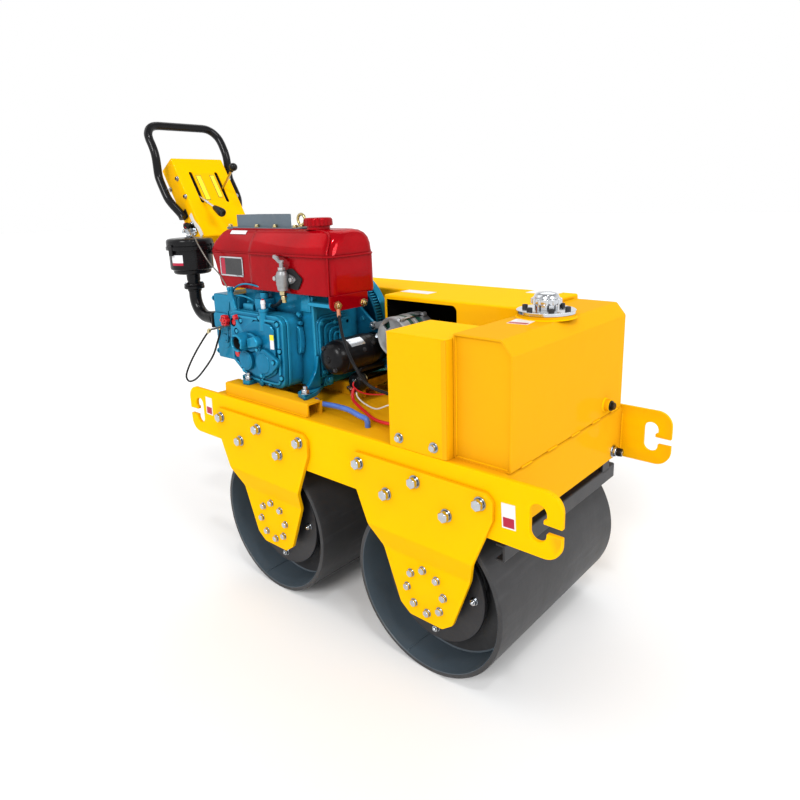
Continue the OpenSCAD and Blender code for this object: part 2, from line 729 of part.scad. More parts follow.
// Turns u and v on the handle into the machine's own X and Z
module on_handle() {
    at() translate([pivot_x, 0, pivot_z]) rotate([0, -(90 - handle_lean), 0]) children();
}
pivot_r = 10;
ear_t = 8;
column_w = 60;
column_d = 40;
console_u = [511, 812];
console_v = [-34, 42];
module handle_bracket() {
    y = column_w / 2 + 6;
    back = -deck_x;
    color("gold") at() for (s = [-1, 1])
        translate([0, s > 0 ? y + ear_t : -y, 0]) difference() {
            wall_xz(0, ear_t) {
                translate([pivot_x, pivot_z]) circle(26);
                translate([pivot_x, pivot_z - 26]) square([back - pivot_x, 52]);
            }
            bar_y(pivot_x, pivot_z, -ear_t - 1, 1, pivot_r + run_fit);
        }
}
module handle_column() {
    color("gold") on_handle() difference() {
        union() {
            translate([-column_d / 2, -column_w / 2, -22]) cube([column_d, column_w, console_u[0] + 142]);
            bar_y(0, 0, -column_w / 2 - 6 - ear_t - 8, column_w / 2 + 6 + ear_t + 8, pivot_r);
        }
    }
}
console_t = 3;
LEVER_Y = [-49, 50];
module console() {
    w = console_w / 2;
    color("gold") on_handle() difference() {
        translate([console_v[0], -w, console_u[0]]) cube([console_v[1] - console_v[0], 2 * w, console_u[1] - console_u[0]]);
        translate([console_v[0] + console_t, -w + console_t, console_u[0] + console_t])
            cube([console_v[1] - console_v[0] - 2 * console_t, 2 * w - 2 * console_t,
                console_u[1] - console_u[0] - 2 * console_t]);
        for (y = LEVER_Y) translate([console_v[1] - console_t - 1, y - 6.5, console_u[0] + 127])
            cube([console_t + 2, 13, 120]);
        translate([-column_d / 2 - soft_gap, -column_w / 2 - soft_gap, console_u[0] - 1]) cube([column_d + 2 * soft_gap, column_w + 2 * soft_gap, console_t + 2]);
    }
}

// One side of the handlebar: v out of the face, y to the side, u up the handle
BAR_SIDE = [[-8, 113, 612], [-8, 114, 626], [-8, 122, 645], [-8, 132, 668], [-8, 138, 695],
    [-8, 138, 755], [-4, 138, 775], [8, 138, 798], [21, 138, 822], [28, 138, 845], [30, 138, 870],
    [30, 138, 890], [30, 134, 912], [30, 121, 932], [30, 103, 943], [30, 84, 946]];
module handlebar() {
    n = len(BAR_SIDE);
    near = [for (p = BAR_SIDE) [p[0], -p[1], p[2]]];
    far = [for (i = [n - 1 : -1 : 0]) BAR_SIDE[i]];
    color("black") on_handle() tube(smooth(concat(near, far), 2), bar_d, 16);
}

// Levers: y across the console, angle from the top of the handle, length of rod and of grip
LEVERS = [[LEVER_Y[0], 145, 116, 50], [LEVER_Y[1], 79, 110, 0]];
lever_u = 176;
lever_v = 22;
rod_r = 3;
module lever(l) {
    translate([console_v[1] - lever_v, l[0], console_u[0] + lever_u]) rotate([0, l[1], 0]) children();
}
module lever_rods() {
    inside = console_w / 2 - console_t;
    color("silver") on_handle() {
        for (l = LEVERS) lever(l) cylinder(h = l[2], r = rod_r);
        bar_y(console_v[1] - lever_v, console_u[0] + lever_u, -inside, inside, 5);
    }
}
ball_r = 13.5;
module lever_knobs() {
    color("black") on_handle() for (l = LEVERS) lever(l) translate([0, 0, l[2]])
        if (l[3] > 0) cylinder(h = l[3], r = 10);
        else translate([0, 0, ball_r + soft_gap]) sphere(ball_r);
}
module throttle_lever() {
    w = console_w / 2;
    color("silver") on_handle() {
        translate([-16, -w - 4, console_u[0] + 30]) cube([34, 4, 44]);
        translate([-14, -w - 26, console_u[0] + 50]) cube([18, 22, 4]);
        translate([-5, -w - 16, console_u[0] + 54]) cylinder(h = 26, r = 10);
    }
}

// ---- Stop control and cables ----

// A sloping bracket on the gear cover holds the stop cable and the stop knob
stop_y = -216;
stop_w = 24;
module stop_bracket() {
    x = -465;
    z = deck_z + 195;
    color("black") at() {
        wall_xz(stop_y, stop_w) polygon([[x - 125, z - 30], [x, z], [x, z + 5], [x - 125, z - 25]]);
        wall_xz(stop_y, 4) polygon([[x - 40, z - 6], [x - 4, z + 2], [x - 6, z + 26], [x - 30, z + 26]]);
    }
}
module stop_knob() {
    color("red") at() {
        bar_y(-482, deck_z + 212, stop_y - 28, stop_y - 4, 4);
        bar_y(-482, deck_z + 212, stop_y - 40, stop_y - 28, 14);
    }
}
// Cable routes, from where each leaves its first fitting to where it meets the second
STOP_ROUTE = [[-592, -228, 733], [-610, -228, 720], [-640, -228, 694], [-685, -228, 652], [-728, -228, 606],
    [-755, -228, 570], [-757, -228, 552], [-738, -228, 546], [-695, -228, 564], [-635, -228, 610],
    [-587, -228, 655], [-557, -228, 700], [-540, -228, 728], [-537, -228, 743.5]];
THROTTLE_ROUTE = [[-830, -126, 1030], [-775, -150, 1022], [-700, -182, 1011], [-605, -228, 988], [-557, -230, 942],
    [-506, -232, 909], [-470, -233.3, 872]];
GROUND_ROUTE = [[-65.7, -180, 828], [-60, -184, 812], [-38, -198, 778], [4, -222, 745], [42, -235, 712],
    [75, -228, 672], [120, -215, 656], [170, -206, 650], [196.5, -205, 650]];
BATTERY_ROUTE = [[-72, -134.8, 614], [-66, -145, 598], [-50, -155, 586], [10, -180, 579], [75, -210, 578],
    [130, -222, 582], [175, -225, 590], [196.5, -225, 591]];
SIGNAL_ROUTES = [[[-70, -132.3, 636], [-66, -140, 622], [-20, -152, 615], [60, -180, 632], [102, -186, 644],
    [170, -190, 664], [196.6, -190, 665]], [[-64, -132.3, 606], [-52, -140, 595], [-18, -150, 586], [52, -178, 592],
    [108, -190, 616], [170, -190, 632], [196.6, -190, 633]]];
HOSE_ROUTE = [[-138, -214, 590], [-105, -222, 588], [-54, -226, 593], [8, -235, 597], [54, -240, 591],
    [74, -240, 588], [80, -240, 580], [80, -240, 574], [80, -240, 567.3]];
FUEL_ROUTE = [[-225, -223, 879.6], [-225, -223, 875], [-225, -223, 869], [-238, -222, 855], [-260, -216, 842],
    [-288, -204, 832], [-310, -194, 827], [-320, -192, 826], [-326, -192, 826], [-331.6, -192, 826]];
module cord(route, n, d) { at() tube(smooth(route, n), d, d < 4 ? 8 : 10); }
module stop_cable() { color("black") cord(STOP_ROUTE, 3, 6); }
module throttle_cable() { color("gray") cord(THROTTLE_ROUTE, 4, 4); }
module ground_cable() { color("black") cord(GROUND_ROUTE, 3, 8); }
module battery_cable() { color("red") cord(BATTERY_ROUTE, 3, 9); }
module solenoid_cables() { color("white") for (r = SIGNAL_ROUTES) cord(r, 4, 4); }
module drain_hose() { color("royalblue") cord(HOSE_ROUTE, 3, 14); }
module fuel_hose() { color("black") cord(FUEL_ROUTE, 3, 11); }

right_side_plate();
left_side_plate();
deck();
front_legs();
rear_legs();
leg_bolts();
hub_bolts();
bearing_discs();
rubber_buffers();
bearing_housings();
front_drum_shell();
front_drum_bulkheads();
rear_drum_shell();
rear_drum_bulkheads();
scrapers();
engine_rails();
crankcase();
gear_cover();
cylinder_head();
fuel_tank();
fuel_cap();
hopper_neck();
lifting_ring();
fuel_tap();
air_filter();
intake_pipe();
exhaust_box();
starter();
starter_solenoid();
alternator();
flywheel();
belt_guard();
hydraulic_tank();
filler_flange();
breather_cap();
battery_box();
handle_bracket();
handle_column();
console();
handlebar();
lever_rods();
lever_knobs();
throttle_lever();
stop_bracket();
stop_knob();
stop_cable();
throttle_cable();
ground_cable();
battery_cable();
solenoid_cables();
drain_hose();
fuel_hose();
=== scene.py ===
import bpy, bmesh, math, json
from mathutils import Vector, Matrix


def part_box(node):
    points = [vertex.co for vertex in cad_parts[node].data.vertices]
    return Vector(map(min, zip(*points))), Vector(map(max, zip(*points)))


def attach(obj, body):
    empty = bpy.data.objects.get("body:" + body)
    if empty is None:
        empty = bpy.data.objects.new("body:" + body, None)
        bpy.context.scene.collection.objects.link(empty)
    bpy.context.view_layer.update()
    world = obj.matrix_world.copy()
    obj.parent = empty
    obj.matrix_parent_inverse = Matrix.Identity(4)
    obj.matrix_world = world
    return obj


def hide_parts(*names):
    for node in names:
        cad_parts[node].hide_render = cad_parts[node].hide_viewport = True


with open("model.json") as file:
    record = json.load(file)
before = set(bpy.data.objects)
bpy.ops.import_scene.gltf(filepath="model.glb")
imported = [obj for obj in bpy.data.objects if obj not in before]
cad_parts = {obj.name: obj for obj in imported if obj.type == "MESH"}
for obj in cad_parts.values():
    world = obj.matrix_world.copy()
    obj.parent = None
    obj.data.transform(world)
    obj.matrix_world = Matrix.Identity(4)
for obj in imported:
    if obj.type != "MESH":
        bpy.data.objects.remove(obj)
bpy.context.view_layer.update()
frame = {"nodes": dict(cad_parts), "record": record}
drumLow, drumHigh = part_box("front_drum_shell")
halfWheelbase, axleHeight = 282, 213
midX = (drumLow.x + drumHigh.x) / 2 - halfWheelbase / 1000  # the middle of the wheelbase
print("frame loaded")


def at(x, y, z):  # millimetres from the middle of the wheelbase, as metres in the frame
    return Vector((midX + x / 1000, y / 1000, z / 1000))


view = {
    "eye": (1142.06, -1313.07, 1112.68),
    "right": (0.75868, 0.65088, -0.02745),
    "up": (-0.13944, 0.20340, 0.96912),
    "back": (0.63636, -0.73143, 0.24507),
    "lens": 29.246,
    "shift": (-0.0068, -0.0487),
}


def makeCamera():
    camera = bpy.data.objects.new("camera", bpy.data.cameras.new("camera"))
    bpy.context.collection.objects.link(camera)
    turn = Matrix((view["right"], view["up"], view["back"])).transposed()
    camera.matrix_world = Matrix.Translation(at(*view["eye"])) @ turn.to_4x4()
    camera.data.lens = view["lens"]
    camera.data.sensor_width = 36
    camera.data.shift_x, camera.data.shift_y = view["shift"]
    camera.data.clip_start, camera.data.clip_end = 0.05, 60
    bpy.context.scene.camera = camera


makeCamera()


# Finishes: every one is procedural, on Object coordinates
def addNode(tree, kind, **settings):
    node = tree.nodes.new(kind)
    for key, value in settings.items():
        setattr(node, key, value)
    return node


def rampOf(tree, source, stops):  # a colour ramp driven by source
    ramp = addNode(tree, "ShaderNodeValToRGB")
    while len(ramp.color_ramp.elements) < len(stops):
        ramp.color_ramp.elements.new(0.5)
    for element, (place, tone) in zip(ramp.color_ramp.elements, stops):
        element.position = place
        element.color = (*tone, 1) if len(tone) == 3 else tone
    tree.links.new(source, ramp.inputs["Fac"])
    return ramp.outputs["Color"]


def rangeOf(tree, source, low, high):  # stretches a 0..1 pattern to low..high
    span = addNode(tree, "ShaderNodeMapRange")
    span.inputs["To Min"].default_value, span.inputs["To Max"].default_value = low, high
    tree.links.new(source, span.inputs["Value"])
    return span.outputs["Result"]


# noise with features about size metres across
def patternOf(tree, size, detail=4, stretch=(1, 1, 1), rough=0.55):
    place = addNode(tree, "ShaderNodeTexCoord")
    mapping = addNode(tree, "ShaderNodeMapping")
    mapping.inputs["Scale"].default_value = stretch
    noise = addNode(tree, "ShaderNodeTexNoise")
    noise.inputs["Scale"].default_value = 1 / size
    noise.inputs["Detail"].default_value = detail
    noise.inputs["Roughness"].default_value = rough
    tree.links.new(place.outputs["Object"], mapping.inputs["Vector"])
    tree.links.new(mapping.outputs["Vector"], noise.inputs["Vector"])
    return noise.outputs["Fac"]


def mixOf(tree, share, first, second):
    mix = addNode(tree, "ShaderNodeMix", data_type="RGBA")
    for socket, value in ((0, share), (6, first), (7, second)):
        if isinstance(value, tuple):
            mix.inputs[socket].default_value = (*value, 1)
        else:
            tree.links.new(value, mix.inputs[socket])
    return mix.outputs[2]


def makeFinish(name, base, shade=0.85, patch=0.25, rough=(0.3, 0.4), metal=0.0, coat=0.0, speck=None,
               bump=None, streak=None, grime=None, edgeWearAndSheen=None, cornerShade=None, shine=0.5):
    material = bpy.data.materials.new(name)
    material.use_nodes = True
    tree = material.node_tree
    shader = tree.nodes["Principled BSDF"]
    tone = rampOf(tree, patternOf(tree, patch), [(0.3, tuple(c * shade for c in base)), (0.7, base)])
    if streak:  # long faint marks along one axis: size, stretch, colour, share
        size, stretch, mark, share = streak
        lines = rampOf(tree, patternOf(tree, size, 6, stretch), [(0.52, (0, 0, 0)), (0.75, (share,) * 3)])
        tone = mixOf(tree, lines, tone, mark)
    if grime:  # dull patches: size, colour, share
        size, mark, share = grime
        marks = rampOf(tree, patternOf(tree, size, 8, rough=0.7), [(0.5, (0, 0, 0)), (0.8, (share,) * 3)])
        tone = mixOf(tree, marks, tone, mark)
    if speck:  # small chips and specks: size, colour, threshold
        size, mark, edge = speck
        spots = rampOf(tree, patternOf(tree, size, 2), [(edge, (0, 0, 0)), (edge + 0.03, (1, 1, 1))])
        tone = mixOf(tree, spots, tone, mark)
    if edgeWearAndSheen:  # edges rubbed or darkened, and on the blue casting a painted highlight: colour, low and high pointiness
        mark, low, high = edgeWearAndSheen
        point = addNode(tree, "ShaderNodeNewGeometry").outputs["Pointiness"]
        edgeWearAndSheenMask = rampOf(tree, point, [(low, (0, 0, 0)), (high, (0.6, 0.6, 0.6))])
        tone = mixOf(tree, edgeWearAndSheenMask, tone, mark)
    if cornerShade:  # painted shade: corners and gaps darkened by ambient occlusion: reach, colour, share
        reach, mark, share = cornerShade
        cornerShadeNode = addNode(tree, "ShaderNodeAmbientOcclusion", samples=4)
        cornerShadeNode.inputs["Distance"].default_value = reach
        tone = mixOf(tree, rampOf(tree, cornerShadeNode.outputs["AO"], [(0.25, (share,) * 3), (0.85, (0, 0, 0))]), tone,
                     mark)
    tree.links.new(tone, shader.inputs["Base Color"])
    tree.links.new(rangeOf(tree, patternOf(tree, 0.05, 5), *rough), shader.inputs["Roughness"])
    shader.inputs["Metallic"].default_value = metal
    shader.inputs["Specular IOR Level"].default_value = shine
    shader.inputs["Coat Weight"].default_value = coat
    shader.inputs["Coat Roughness"].default_value = 0.06
    height = None
    for size, strength, *stretch in bump or []:
        bumpNode = addNode(tree, "ShaderNodeBump")
        bumpNode.inputs["Strength"].default_value = strength
        bumpNode.inputs["Distance"].default_value = size / 4
        tree.links.new(patternOf(tree, size, 3, *stretch), bumpNode.inputs["Height"])
        if height:
            tree.links.new(height, bumpNode.inputs["Normal"])
        height = bumpNode.outputs["Normal"]
    if height:
        tree.links.new(height, shader.inputs["Normal"])
    return material


# the corner darkening in these finishes is painted shade
finishes = {
    "yellow_paint": makeFinish("yellowPaint", (0.97, 0.50, 0.0005), 0.95, 0.4, (0.22, 0.32), coat=0.06,
                               shine=0.0,
        bump=[(0.004, 0.05), (0.09, 0.10)], grime=(0.05, (0.80, 0.37, 0.001), 0.2),
        speck=(0.006, (0.50, 0.24, 0.01), 0.76), edgeWearAndSheen=((0.62, 0.28, 0.01), 0.53, 0.60),
        cornerShade=(0.05, (0.42, 0.17, 0.001), 0.7)),
    "drum_paint": makeFinish("drumPaint", (0.043, 0.043, 0.045), 0.75, 0.15, (0.42, 0.58), coat=0.03,
                             shine=0.2,
        bump=[(0.002, 0.12), (0.03, 0.1)], streak=(0.02, (1.0, 0.12, 1.0), (0.09, 0.09, 0.095), 0.25)),
    "drumInside": makeFinish("drumInsidePaint", (0.066, 0.088, 0.108), 0.8, 0.15, (0.34, 0.48), coat=0.1,
                             shine=0.35,
        bump=[(0.003, 0.12), (0.05, 0.12)], grime=(0.05, (0.09, 0.085, 0.08), 0.35)),
    "dark_steel": makeFinish("darkSteel", (0.022, 0.022, 0.025), 0.7, 0.1, (0.35, 0.55), shine=0.35,
                             bump=[(0.003, 0.2)],
        grime=(0.04, (0.07, 0.06, 0.055), 0.35)),
    "zinc": makeFinish("zincPlate", (0.44, 0.48, 0.52), 0.6, 0.012, (0.14, 0.28), metal=1.0,
                       bump=[(0.002, 0.1)],
        grime=(0.008, (0.36, 0.33, 0.24), 0.35), edgeWearAndSheen=((0.7, 0.72, 0.75), 0.53, 0.62),
        cornerShade=(0.008, (0.10, 0.10, 0.11), 0.8)),
    "rubber": makeFinish("buffRubber", (0.012, 0.012, 0.013), 0.8, 0.05, (0.55, 0.7), shine=0.3,
                         bump=[(0.002, 0.3)]),
    # the blue casting's lighter edge colour is a painted highlight
    "engine_blue": makeFinish("castBlue", (0.001, 0.150, 0.30), 0.66, 0.05, (0.14, 0.28), metal=0.35,
                              coat=0.2, shine=0.0,
        bump=[(0.0035, 0.30), (0.02, 0.2)], grime=(0.03, (0.003, 0.06, 0.13), 0.5),
        speck=(0.008, (0.02, 0.04, 0.05), 0.73),
        edgeWearAndSheen=((0.04, 0.40, 0.62), 0.52, 0.58), cornerShade=(0.022, (0.001, 0.03, 0.07), 0.85)),
    "tank_red": makeFinish("tankRed", (0.42, 0.001, 0.006), 0.62, 0.2, (0.10, 0.18), metal=0.3, coat=0.22,
                           shine=0.0,
        bump=[(0.004, 0.04), (0.08, 0.08)], speck=(0.005, (0.12, 0.005, 0.008), 0.75),
        edgeWearAndSheen=((0.22, 0.001, 0.005), 0.53, 0.6),
        cornerShade=(0.03, (0.10, 0.0005, 0.002), 0.7)),
    "neck_grey": makeFinish("neckGrey", (0.10, 0.135, 0.165), 0.85, 0.08, (0.3, 0.45), shine=0.35,
                            bump=[(0.003, 0.12)],
        grime=(0.03, (0.16, 0.17, 0.17), 0.3)),
    "brass": makeFinish("yellowZinc", (0.55, 0.42, 0.17), 0.65, 0.012, (0.15, 0.30), metal=1.0,
                        bump=[(0.002, 0.1)],
        grime=(0.01, (0.42, 0.42, 0.30), 0.5), edgeWearAndSheen=((0.7, 0.62, 0.4), 0.53, 0.62)),
    "black_gloss": makeFinish("blackEnamel", (0.005, 0.005, 0.006), 0.8, 0.1, (0.2, 0.34), coat=0.2,
                              shine=0.1,
        bump=[(0.003, 0.06), (0.05, 0.08)], grime=(0.04, (0.035, 0.035, 0.035), 0.15)),
    "satin_black": makeFinish("satinBlack", (0.004, 0.004, 0.005), 0.75, 0.1, (0.26, 0.38), shine=0.12,
                              coat=0.1,
        bump=[(0.003, 0.1), (0.04, 0.08)], grime=(0.03, (0.02, 0.02, 0.022), 0.3)),
    "canGold": makeFinish("oliveZinc", (0.20, 0.165, 0.08), 0.5, 0.03, (0.12, 0.22), metal=1.0,
                          bump=[(0.003, 0.06)],
        grime=(0.01, (0.10, 0.09, 0.06), 0.4), cornerShade=(0.02, (0.02, 0.015, 0.01), 0.9)),
    "cast_alloy": makeFinish("castAlloy", (0.36, 0.37, 0.38), 0.7, 0.02, (0.36, 0.52), metal=0.75,
                             bump=[(0.0025, 0.35)],
        grime=(0.015, (0.16, 0.16, 0.165), 0.5), edgeWearAndSheen=((0.6, 0.6, 0.6), 0.53, 0.62),
        cornerShade=(0.02, (0.05, 0.05, 0.055), 0.8)),
    "chrome": makeFinish("chromePlate", (0.66, 0.68, 0.71), 0.85, 0.02, (0.10, 0.20), metal=1.0,
                         bump=[(0.01, 0.03)],
        grime=(0.01, (0.35, 0.35, 0.36), 0.35)),
    "black_plastic": makeFinish("blackPlastic", (0.007, 0.007, 0.007), 0.85, 0.03, (0.22, 0.35), shine=0.2,
                                bump=[(0.002, 0.08)]),
    "red_plastic": makeFinish("redPlastic", (0.55, 0.006, 0.010), 0.85, 0.02, (0.2, 0.35), shine=0.4,
                              bump=[(0.002, 0.08)]),
    "cable_black": makeFinish("cableBlack", (0.007, 0.007, 0.008), 0.85, 0.03, (0.3, 0.45), shine=0.15,
                              bump=[(0.0015, 0.1)]),
    "cable_wire": makeFinish("steelCable", (0.20, 0.18, 0.16), 0.7, 0.01, (0.35, 0.5), metal=0.7,
                             bump=[(0.001, 0.3)]),
    "cable_red": makeFinish("cableRed", (0.62, 0.010, 0.015), 0.85, 0.03, (0.28, 0.4), shine=0.4,
                            bump=[(0.0015, 0.1)]),
    "cable_white": makeFinish("cableWhite", (0.70, 0.68, 0.63), 0.9, 0.03, (0.3, 0.4), shine=0.4,
                              bump=[(0.0015, 0.1)]),
    "hose_blue": makeFinish("hoseBlue", (0.07, 0.16, 0.55), 0.8, 0.03, (0.28, 0.4), shine=0.4,
                            bump=[(0.0015, 0.1)]),
    "copper": makeFinish("copperLug", (0.75, 0.33, 0.20), 0.8, 0.008, (0.25, 0.4), metal=1.0,
                         bump=[(0.001, 0.1)]),
    "labelWhite": makeFinish("blankLabel", (0.74, 0.74, 0.76), 0.93, 0.02, (0.3, 0.4), shine=0.3,
        grime=(0.006, (0.50, 0.52, 0.62), 0.25)),
    "labelYellow": makeFinish("blankYellowLabel", (0.92, 0.75, 0.03), 0.93, 0.02, (0.3, 0.4), shine=0.2,
        grime=(0.006, (0.60, 0.42, 0.02), 0.25)),
    "labelRed": makeFinish("blankRedLabel", (0.42, 0.01, 0.04), 0.85, 0.01, (0.3, 0.4), shine=0.3,
        grime=(0.005, (0.25, 0.02, 0.05), 0.3)),
    "labelBlack": makeFinish("blankPlate", (0.03, 0.03, 0.032), 0.85, 0.01, (0.3, 0.45), shine=0.4,
        grime=(0.004, (0.12, 0.12, 0.12), 0.35)),
    "stator": makeFinish("statorGreen", (0.008, 0.06, 0.04), 0.7, 0.01, (0.35, 0.5), shine=0.35,
                         bump=[(0.002, 0.3)]),
    "gasket": makeFinish("darkGasket", (0.012, 0.012, 0.013), 0.8, 0.02, (0.5, 0.7), shine=0.3,
                         bump=[(0.002, 0.2)]),
}
slotOf = {row["node"]: row["material_slot"] for row in frame["record"]["subparts"]}
print("finishes made")


# Cords: each lies on the route that its solid has, in millimetres
cords = {
    "stopCable": dict(node="stop_cable", body="chassis", wide=6, stiffness="stiff", route=[
        (-592, -228, 733), (-610, -228, 720), (-640, -228, 694), (-685, -228, 652), (-728, -228, 606),
        (-755, -228, 570),
        (-757, -228, 552), (-738, -228, 546), (-695, -228, 564), (-635, -228, 610), (-587, -228, 655),
        (-557, -228, 700),
        (-540, -228, 728), (-537, -228, 743.5)]),
    "throttleCable": dict(node="throttle_cable", body="handle", wide=4, stiffness="stiff", route=[
        (-830, -126, 1030), (-775, -150, 1022), (-700, -182, 1011), (-605, -228, 988), (-557, -230, 942),
        (-506, -232, 909), (-470, -233.3, 872)]),
    "groundCable": dict(node="ground_cable", body="chassis", wide=8, stiffness="medium", route=[
        (-65.7, -180, 828), (-60, -184, 812), (-38, -198, 778), (4, -222, 745), (42, -235, 712),
        (75, -228, 672),
        (120, -215, 656), (170, -206, 650), (196.5, -205, 650)]),
    "batteryCable": dict(node="battery_cable", body="chassis", wide=9, stiffness="medium", route=[
        (-72, -134.8, 614), (-66, -145, 598), (-50, -155, 586), (10, -180, 579), (75, -210, 578),
        (130, -222, 582),
        (175, -225, 590), (196.5, -225, 591)]),
    "signalCable": dict(node="solenoid_cables", body="chassis", wide=4, stiffness="medium",
                        finish="cable_red", route=[
        (-70, -132.3, 636), (-66, -140, 622), (-20, -152, 615), (60, -180, 632), (102, -186, 644),
        (170, -190, 664),
        (196.6, -190, 665)]),
    "pilotCable": dict(node="solenoid_cables", body="chassis", wide=4, stiffness="medium", route=[
        (-64, -132.3, 606), (-52, -140, 595), (-18, -150, 586), (52, -178, 592), (108, -190, 616),
        (170, -190, 632),
        (196.6, -190, 633)]),
    "drainHose": dict(node="drain_hose", body="chassis", wide=14, stiffness="medium", route=[
        (-138, -214, 590), (-105, -222, 588), (-54, -226, 593), (8, -235, 597), (54, -240, 591),
        (74, -240, 588),
        (80, -240, 580), (80, -240, 574), (80, -240, 567.3)]),
    "fuelHose": dict(node="fuel_hose", body="chassis", wide=11, stiffness="medium", route=[
        (-225, -223, 879.6), (-225, -223, 875), (-225, -223, 869), (-238, -222, 855), (-260, -216, 842),
        (-288, -204, 832), (-310, -194, 827), (-320, -192, 826), (-326, -192, 826), (-331.6, -192, 826)]),
}


def smoothRoute(route, steps):  # a curve through every point of the route
    pts = [Vector(p) for p in route]
    out = []
    for i in range(len(pts) - 1):
        a, b, c, d = pts[max(i - 1, 0)], pts[i], pts[i + 1], pts[min(i + 2, len(pts) - 1)]
        for k in range(steps):
            t = k / steps
            out.append(0.5 * (2 * b + (c - a) * t + (2 * a - 5 * b + 4 * c - d) * t * t
                              + (3 * b - a - 3 * c + d) * t ** 3))
    return out + [pts[-1]]


def wireCurve(name, runs, wide, finish, rings=3):  # one or more runs of round wire or tube
    curve = bpy.data.curves.new(name, "CURVE")
    curve.dimensions = "3D"
    curve.bevel_depth = wide / 2000
    curve.bevel_resolution = rings
    curve.use_fill_caps = True
    for points in runs:
        spline = curve.splines.new("POLY")
        spline.points.add(len(points) - 1)
        for point, place in zip(spline.points, points):
            point.co = (*at(*place), 1)
    curve.materials.append(finishes[finish])
    piece = bpy.data.objects.new(name, curve)
    bpy.context.collection.objects.link(piece)
    return piece


def makeCords():
    for name, facts in cords.items():
        points = smoothRoute(facts["route"], 8)
        slot = facts.get("finish", slotOf[facts["node"]])
        piece = wireCurve(name, [points], facts["wide"], slot)
        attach(piece, facts["body"])
        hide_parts(facts["node"])


makeCords()
print("cords made")


# The modelling kit: shapes are built in millimetres and moved into the frame when a piece is finished
toFront, toRear, toFar, toNear = (1, 0, 0), (-1, 0, 0), (0, 1, 0), (0, -1, 0)
toTop, toBottom = (0, 0, 1), (0, 0, -1)


def turnTo(way):  # turns +Z to point along way
    return Vector(toTop).rotation_difference(Vector(way).normalized()).to_matrix().to_4x4()


def softenEdges(bm, edges, width, segments=2):
    if edges:
        bmesh.ops.bevel(bm, geom=edges, offset=width, offset_type="OFFSET", segments=segments, profile=0.5,
                        affect="EDGES", clamp_overlap=True, material=-1)


def sharpEdges(verts, angle=40):  # the edges among verts that fold by more than angle
    edges = {e for v in verts for e in v.link_edges if len(e.link_faces) == 2}
    return [e for e in edges if e.calc_face_angle(0) > math.radians(angle)]


def foldsOf(bm, test=lambda e: True, angle=57.2958):  # the edges that pass test and fold by more than angle
    folds = [e for e in bm.edges if len(e.link_faces) == 2 and e.calc_face_angle(0) > math.radians(angle)]
    return [e for e in folds if test(e)]


# a round bar between two points
def addRod(bm, start, end, radius, endRadius=None, steps=32, edge=0, segments=2):
    start, end = Vector(start), Vector(end)
    made = bmesh.ops.create_cone(bm, cap_ends=True, segments=steps, radius1=radius,
                                 radius2=radius if endRadius is None else endRadius,
                                 depth=(end - start).length,
                                 matrix=Matrix.Translation((start + end) / 2) @ turnTo(end - start))
    if edge:
        softenEdges(bm, sharpEdges(made["verts"], 50 if steps > 8 else 20), edge, segments)


def addBox(bm, low, high, edge=0, segments=2, turn=None):  # a block with softened edges
    low, high = Vector(low), Vector(high)
    place = Matrix.Translation((low + high) / 2) @ Matrix.Diagonal((*(high - low), 1))
    made = bmesh.ops.create_cube(bm, size=1, matrix=(turn or Matrix()) @ place)
    if edge:
        softenEdges(bm, sharpEdges(made["verts"]), edge, segments)


flatAxes = {"x": lambda u, v, w: (w, u, v), "y": lambda u, v, w: (u, w, v), "z": lambda u, v, w: (u, v, w)}


def spotsRound(u, v, radius, count, first=0):  # points spaced evenly round a circle
    angles = [math.radians(first + 360 / count * i) for i in range(count)]
    return [(u + radius * math.cos(angle), v + radius * math.sin(angle)) for angle in angles]


def addFace(bm, outline, axis, level, corners=None):  # a flat face; corners is a list of (radius, indices)
    verts = [bm.verts.new(flatAxes[axis](u, v, level)) for u, v in outline]
    face = bm.faces.new(verts)
    for radius, which in corners or []:
        chosen = [verts[i] for i in which]
        made = bmesh.ops.bevel(bm, geom=chosen, offset=radius, offset_type="OFFSET",
                               segments=max(3, int(radius / 3)),
                               profile=0.5, affect="VERTICES", clamp_overlap=False, material=-1)
        face = next(f for f in bm.faces if f.is_valid and (f in made["faces"] or all(
            v.is_valid and v in f.verts for v in made["verts"])))
    return face


# an outline given thickness
def addPlate(bm, outline, axis, low, high, edge=0, corners=None, segments=2, angle=40):
    face = addFace(bm, outline, axis, low, corners)
    made = bmesh.ops.extrude_face_region(bm, geom=[face])
    verts = [g for g in made["geom"] if isinstance(g, bmesh.types.BMVert)]
    bmesh.ops.translate(bm, verts=verts, vec=flatAxes[axis](0, 0, high - low))
    every = verts + list(face.verts)
    bmesh.ops.recalc_face_normals(bm, faces=list({f for v in every for f in v.link_faces}))
    if edge:
        softenEdges(bm, sharpEdges(every, angle), edge, segments)
    return every


# an outline raised as an open wall, thick inwards
def addWall(bm, outline, axis, low, high, thickness, corners=None):
    face = addFace(bm, outline, axis, low, corners)
    edges = list(face.edges)
    bmesh.ops.delete(bm, geom=[face], context="FACES_ONLY")
    made = bmesh.ops.extrude_edge_only(bm, edges=edges)["geom"]
    bmesh.ops.translate(bm, verts=[g for g in made if isinstance(g, bmesh.types.BMVert)],
                        vec=flatAxes[axis](0, 0, high - low))
    wall = [g for g in made if isinstance(g, bmesh.types.BMFace)]
    bmesh.ops.recalc_face_normals(bm, faces=wall)
    bmesh.ops.solidify(bm, geom=wall, thickness=thickness)


def addPart(bm, part):  # joins a shape made by itself
    mesh = bpy.data.meshes.new("part")
    part.to_mesh(mesh)
    part.free()
    bm.from_mesh(mesh)
    bpy.data.meshes.remove(mesh)


